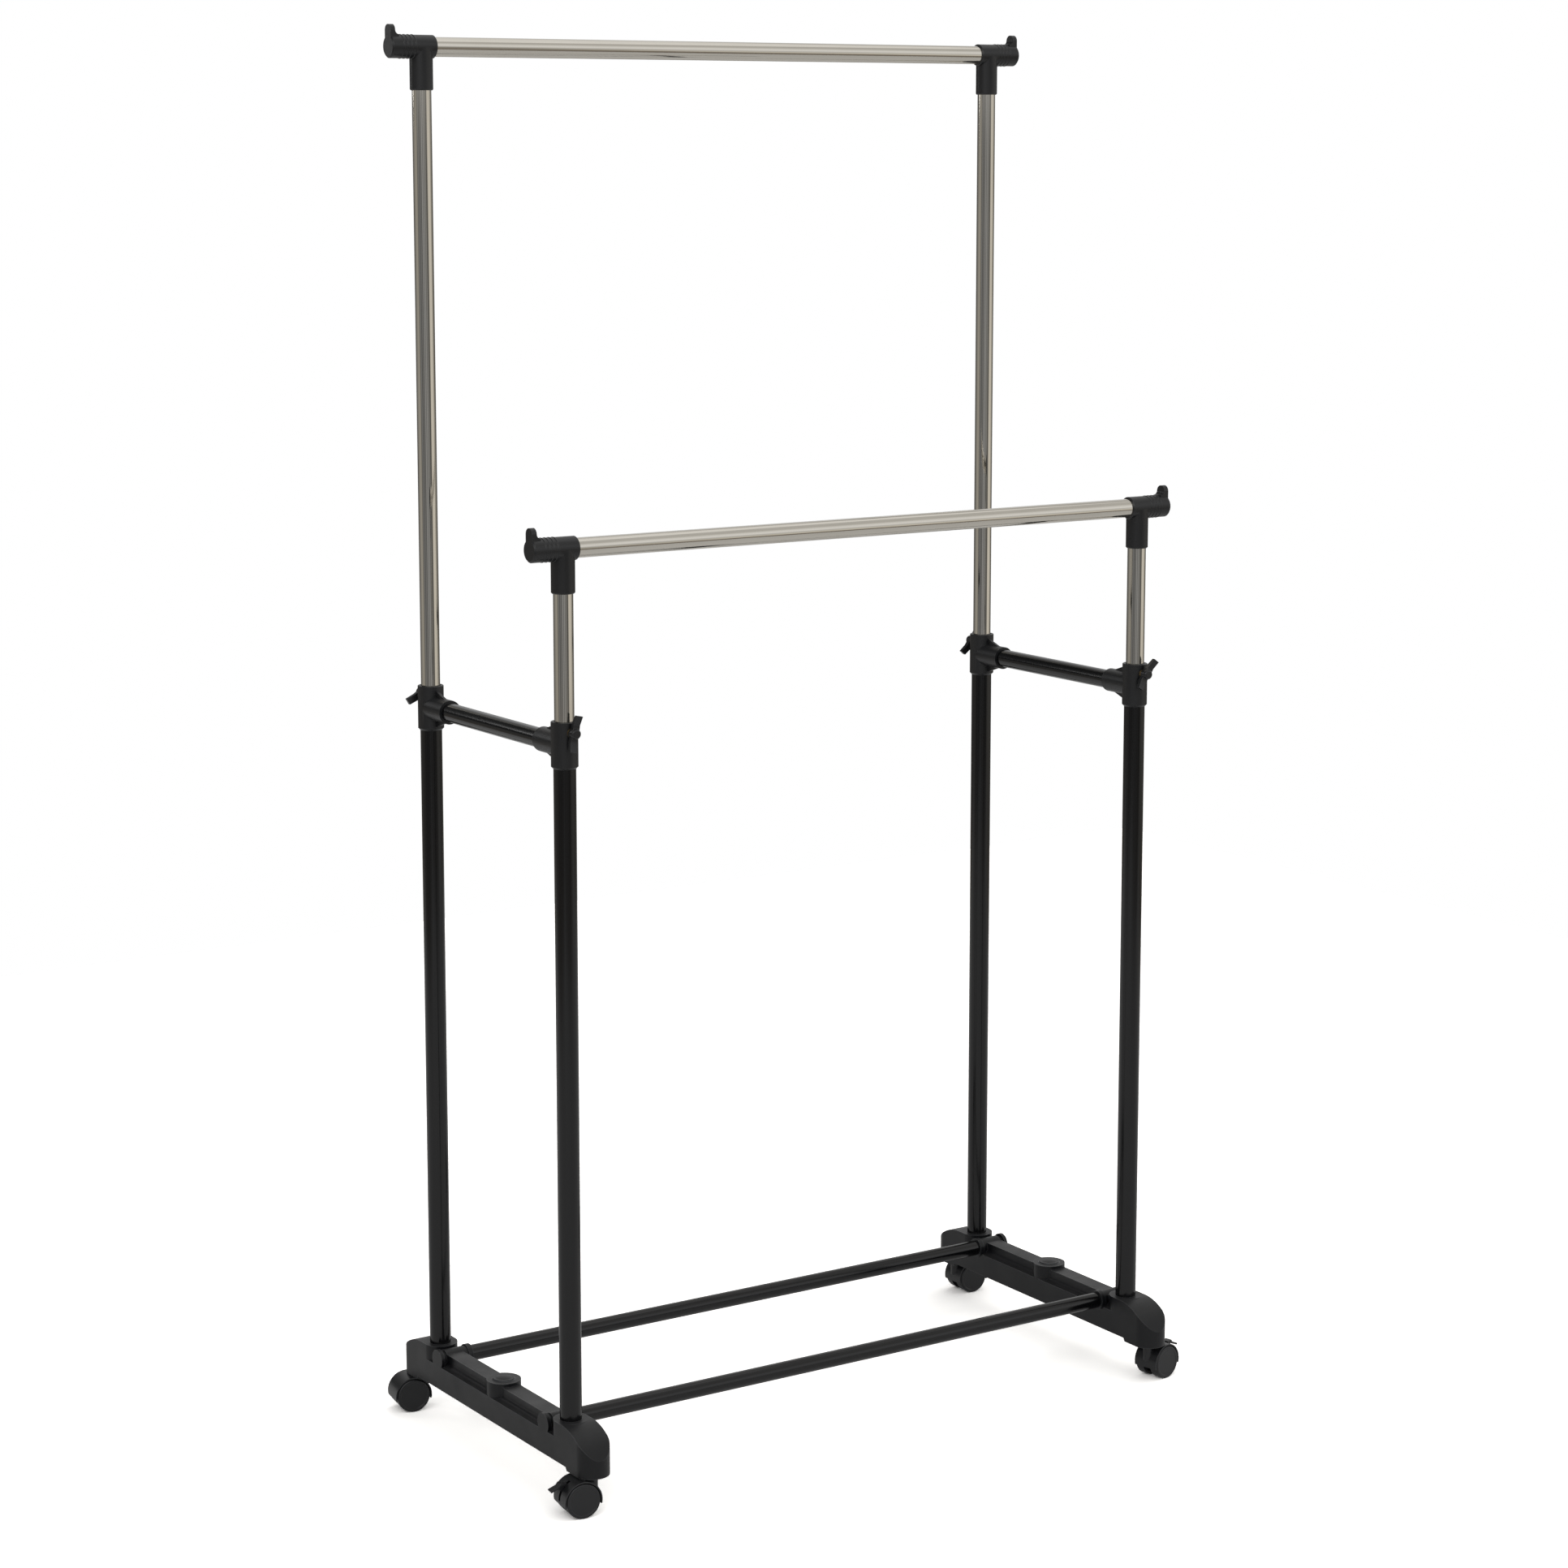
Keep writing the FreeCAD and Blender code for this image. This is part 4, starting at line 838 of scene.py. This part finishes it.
@dataclass
class ClampUnit:
    """A post clamp with its screw and wing knob.

    Args:
        side: Which end it is at.
        row: Which row it is in.
        shell_edge: The rounding of the clamp.
        knob_edge: The rounding of the knob.
    """

    side: Side
    row: Row
    shell_edge: Softening = Softening(radius=0.5 * MM)
    knob_edge: Softening = Softening(radius=0.7 * MM, segments=3)

    def dress(self, rack: Rack, finishes: Finishes) -> None:
        """Gives the clamp, the knob and the screw their finishes.

        Args:
            rack: The frame's nodes.
            finishes: The materials.
        """
        stem = corner(self.side, self.row)
        rack.dress(f"{stem}_clamp", finishes.plastic, Slot.PLASTIC, self.shell_edge)
        rack.dress(f"{stem}_wing_knob", finishes.knob_plastic, Slot.PLASTIC, self.knob_edge)
        rack.dress(f"{stem}_clamp_screw", finishes.zinc, Slot.ZINC)


@dataclass
class Tier:
    """A sliding tier: two uprights, the rail and its two tees.

    Args:
        row: Which row it slides in.
        tee_edge: The rounding of the tees.
    """

    row: Row
    tee_edge: Softening = Softening(radius=0.35 * MM)

    def dress(self, rack: Rack, finishes: Finishes) -> None:
        """Gives the tubes their chrome and the tees their plastic.

        Args:
            rack: The frame's nodes.
            finishes: The materials.
        """
        rack.dress(f"{self.row.value}_hanging_rail", finishes.chrome_rail, Slot.CHROME)
        for side in Side:
            stem = corner(side, self.row)
            rack.dress(f"{stem}_upright", finishes.chrome_upright, Slot.CHROME)
            rack.dress(f"{stem}_tee", finishes.plastic, Slot.PLASTIC, self.tee_edge)


@dataclass
class CasterUnit:
    """A twin-wheel caster with its hood, and its brake lever at the front.

    Args:
        side: Which end it is at.
        row: Which row it is in.
        hood_edge: The rounding of the hood and the lever.
        wheel_edge: The rounding of the wheels.
    """

    side: Side
    row: Row
    hood_edge: Softening = Softening(radius=0.4 * MM)
    wheel_edge: Softening = Softening(radius=0.35 * MM)

    def dress(self, rack: Rack, finishes: Finishes) -> None:
        """Gives the caster's parts their finishes.

        Args:
            rack: The frame's nodes.
            finishes: The materials.
        """
        stem = corner(self.side, self.row)
        rack.dress(f"{stem}_caster_hood", finishes.caster, Slot.CASTER, self.hood_edge)
        rack.dress(f"{stem}_caster_stem", finishes.zinc, Slot.ZINC)
        rack.dress(f"{stem}_caster_axle", finishes.zinc, Slot.ZINC)
        for wheel in ("inner_wheel", "outer_wheel"):
            rack.dress(f"{stem}_{wheel}", finishes.nylon, Slot.NYLON, self.wheel_edge)
        if self.row is Row.FRONT:
            rack.dress(f"{stem}_brake_lever", finishes.caster, Slot.CASTER, self.hood_edge)


@dataclass(frozen=True)
class Stripe:
    """The light at one place on a ramp.

    Args:
        place: Where on the ramp, 0 to 1.
        light: How bright it is.
        warmth: 1 for warm, 0 for neutral, less for cool.
    """

    place: float
    light: float
    warmth: float = 1.0

    def colour(self) -> Colour:
        """The light's colour."""
        return tuple(self.light * (1.0 - loss * self.warmth) for loss in WARM_LOSS)


@dataclass(frozen=True)
class Panel:
    """A soft rectangle of light.

    Args:
        name: The light's name.
        place: Where it hangs.
        size: Its width and height.
        power: Its power in watts.
    """

    name: str
    place: Place
    size: tuple[float, float]
    power: float


@dataclass
class Studio:
    """A pale floor in a streaked room, with soft panels of light and the camera.

    Args:
        lens: Focal length, in millimetres.
        sensor_width: The width of the camera's sensor, in millimetres.
        shift_up: How far the lens is shifted up, as a share of the sensor.
        view_end: How far the camera sees.
        camera_at: Where the camera stands.
        heading: The camera's turn about the vertical, in degrees.
        dip: How far it looks down, in degrees.
        floor_half: Half the width of the floor.
        paper: The floor's colour for the light that it throws on the rack.
        bright_paper: The floor's colour for the camera.
        backdrop: What the camera sees past the floor.
        horizon_blur: The height over which the walls fade into the sky.
        sky: The light above the horizon, by height.
        sky_round: What that light is multiplied by, by bearing.
        walls: The light below the horizon, by bearing.
        skirting: The light below the walls.
        skirting_from: The height at which the walls begin to fade into it.
        skirting_full: The height at which they have faded.
        panels: The soft lights.
        panels_face: The point that they face.
    """

    lens: float = 82.36
    sensor_width: float = 36.0
    shift_up: float = -0.06
    view_end: float = 200.0
    camera_at: Place = (-2.302, -3.493, 1.510)
    heading: float = -33.29
    dip: float = 8.78
    floor_half: float = 2.6
    paper: Colour = (0.9, 0.9, 0.9)
    bright_paper: Colour = (2.35, 2.33, 2.3)
    backdrop: Colour = (1.0, 1.0, 1.0)
    horizon_blur: float = 0.05
    sky: tuple[Stripe, ...] = (
        Stripe(0.0, 0.62, 0.0),
        Stripe(0.14, 0.7, 0.0),
        Stripe(0.25, 0.98, 0.0),
        Stripe(0.48, 0.86, 0.0),
        Stripe(0.66, 0.6, 0.4),
        Stripe(1.0, 0.66, 0.0),
    )
    sky_round: tuple[Stripe, ...] = (
        Stripe(0.0, 1.0, 0.0),
        Stripe(0.2, 0.8, 0.0),
        Stripe(0.27, 0.1, 0.0),
        Stripe(0.42, 0.1, 0.0),
        Stripe(0.5, 0.9, 0.0),
        Stripe(0.6, 1.0, 0.0),
    )
    walls: tuple[Stripe, ...] = (
        Stripe(0.0, 0.16),
        Stripe(0.157, 0.12),
        Stripe(0.3, 0.14, 0.5),
        Stripe(0.37, 0.34, 0.8),
        Stripe(0.45, 0.42),
        Stripe(0.475, 0.3),
        Stripe(0.5, 0.13, -0.4),
        Stripe(0.53, 0.28, -0.4),
        Stripe(0.555, 0.09, -0.4),
        Stripe(0.59, 0.26, -0.4),
        Stripe(0.615, 0.09, -0.4),
        Stripe(0.65, 0.42, -0.4),
        Stripe(0.675, 0.13, -0.4),
        Stripe(0.7, 0.42, -0.3),
        Stripe(0.73, 0.16, -0.3),
        Stripe(0.76, 0.34, 0.0),
        Stripe(0.785, 0.1, 0.3),
        Stripe(0.822, 0.15, 0.5),
        Stripe(0.842, 0.74),
        Stripe(0.93, 0.78),
        Stripe(0.962, 0.4),
    )
    skirting: Colour = (0.24, 0.215, 0.185)
    skirting_from: float = -0.14
    skirting_full: float = -0.21
    panels: tuple[Panel, ...] = (
        Panel("key_panel", (-2.6, -2.0, 3.2), (2.0, 2.0), 20.0),
        Panel("top_panel", (0.6, 0.4, 3.6), (2.4, 2.4), 6.0),
        Panel("rim_panel", (-1.9, 2.5, 2.3), (0.3, 1.6), 6.0),
    )
    panels_face: Place = (0.0, 0.0, 0.8)

    def build(self) -> None:
        """Makes the floor, the lights, the sky and the camera."""
        self.make_floor()
        self.make_sky()
        for panel in self.panels:
            self.make_panel(panel)
        self.make_camera()

    def make_camera(self) -> None:
        """Makes the camera and gives it to the scene."""
        data = bpy.data.cameras.new("studio_camera")
        data.lens = self.lens
        data.sensor_width = self.sensor_width
        data.shift_y = self.shift_up
        data.clip_end = self.view_end
        camera = bpy.data.objects.new("studio_camera", data)
        camera.location = self.camera_at
        camera.rotation_euler = (math.radians(90.0 - self.dip), 0.0, math.radians(self.heading))
        bpy.context.scene.collection.objects.link(camera)
        bpy.context.scene.camera = camera

    def make_floor(self) -> None:
        """Lays a sheet of pale paper under the wheels."""
        mesh = bpy.data.meshes.new("floor")
        half = self.floor_half
        corners = [(-half, -half, 0.0), (half, -half, 0.0), (half, half, 0.0), (-half, half, 0.0)]
        mesh.from_pydata(corners, [], [(0, 1, 2, 3)])
        floor = bpy.data.objects.new("floor", mesh)
        bpy.context.scene.collection.objects.link(floor)
        mesh.materials.append(self.floor_material())

    def floor_material(self) -> bpy.types.Material:
        """Matt paper, shown to the camera brighter than the paper that lights the rack.

        Returns:
            The floor's material.
        """
        material = bpy.data.materials.new("pale_floor")
        material.use_nodes = True
        bench = NodeBench(material.node_tree)
        shader = material.node_tree.nodes["Principled BSDF"]
        rays = bench.add("ShaderNodeLightPath")
        shown = bench.mix(rays.outputs["Is Camera Ray"], self.paper, self.bright_paper)
        bench.join(shown, shader.inputs["Base Color"])
        shader.inputs["Roughness"].default_value = 1.0
        shader.inputs["Specular IOR Level"].default_value = 0.0
        return material

    def make_sky(self) -> None:
        """Fills the room with light: a pale sky over dim streaked walls, and the backdrop for the camera."""
        world = bpy.data.worlds.new("studio_room")
        bpy.context.scene.world = world
        world.use_nodes = True
        world.node_tree.nodes.clear()
        bench = NodeBench(world.node_tree)
        rays = bench.add("ShaderNodeLightPath")
        direction = bench.add("ShaderNodeSeparateXYZ")
        bench.join(bench.add("ShaderNodeTexCoord").outputs["Generated"], direction.inputs[0])
        bearing = bench.math("ARCTAN2", direction.outputs["Y"], direction.outputs["X"])
        turn = bench.math("FRACT", bench.math("DIVIDE", bearing, 2.0 * math.pi))
        height = direction.outputs["Z"]
        foot = bench.add("ShaderNodeMapRange", interpolation_type="SMOOTHSTEP")
        bench.join(height, foot.inputs["Value"])
        foot.inputs["From Min"].default_value = self.skirting_from
        foot.inputs["From Max"].default_value = self.skirting_full
        walls = bench.mix(foot.outputs["Result"], self.ramp(bench, turn, self.walls), self.skirting)
        above = bench.add("ShaderNodeVectorMath", operation="MULTIPLY")
        bench.join(self.ramp(bench, height, self.sky), above.inputs[0])
        bench.join(self.ramp(bench, turn, self.sky_round), above.inputs[1])
        over = bench.math("DIVIDE", height, self.horizon_blur, clamp=True)
        room = bench.mix(over, walls, above.outputs["Vector"])
        back = bench.add("ShaderNodeBackground")
        bench.join(bench.mix(rays.outputs["Is Camera Ray"], room, self.backdrop), back.inputs["Color"])
        output = bench.add("ShaderNodeOutputWorld")
        bench.join(back.outputs[0], output.inputs["Surface"])

    @staticmethod
    def ramp(bench: NodeBench, value: bpy.types.NodeSocket, stripes: tuple[Stripe, ...]) -> bpy.types.NodeSocket:
        """Light that changes along a ramp.

        Args:
            bench: The node tree to add to.
            value: Where to read the ramp, 0 to 1.
            stripes: The light at each stop.

        Returns:
            The colour.
        """
        node = bench.add("ShaderNodeValToRGB")
        bench.join(value, node.inputs["Fac"])
        elements = node.color_ramp.elements
        elements.remove(elements[1])
        for index, stripe in enumerate(stripes):
            element = elements[0] if index == 0 else elements.new(stripe.place)
            element.position = stripe.place
            element.color = rgba(stripe.colour())
        return node.outputs["Color"]

    def make_panel(self, panel: Panel) -> None:
        """Hangs one panel of light, facing the rack.

        Args:
            panel: The panel's place, size and power.
        """
        data = bpy.data.lights.new(panel.name, "AREA")
        data.shape = "RECTANGLE"
        data.size, data.size_y = panel.size
        data.energy = panel.power
        lamp = bpy.data.objects.new(panel.name, data)
        lamp.location = panel.place
        towards = Vector(self.panels_face) - Vector(panel.place)
        lamp.rotation_euler = towards.to_track_quat("-Z", "Y").to_euler()
        bpy.context.scene.collection.objects.link(lamp)


def main() -> None:
    """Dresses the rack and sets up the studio."""
    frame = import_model()
    bpy.context.scene.view_settings.view_transform = "Standard"
    finishes = Finishes()
    rack = Rack(frame["nodes"])
    assemblies = [
        *(BaseUnit(side) for side in Side),
        LowerFrame(),
        *(ClampUnit(side, row) for side in Side for row in Row),
        *(Tier(row) for row in Row),
        *(CasterUnit(side, row) for side in Side for row in Row),
    ]
    for assembly in assemblies:
        assembly.dress(rack, finishes)
    if rack.undressed():
        raise RuntimeError(f"nodes without a finish: {rack.undressed()}")
    Studio().build()


if __name__ == "__main__":
    logging.basicConfig(level=logging.INFO)
    main()
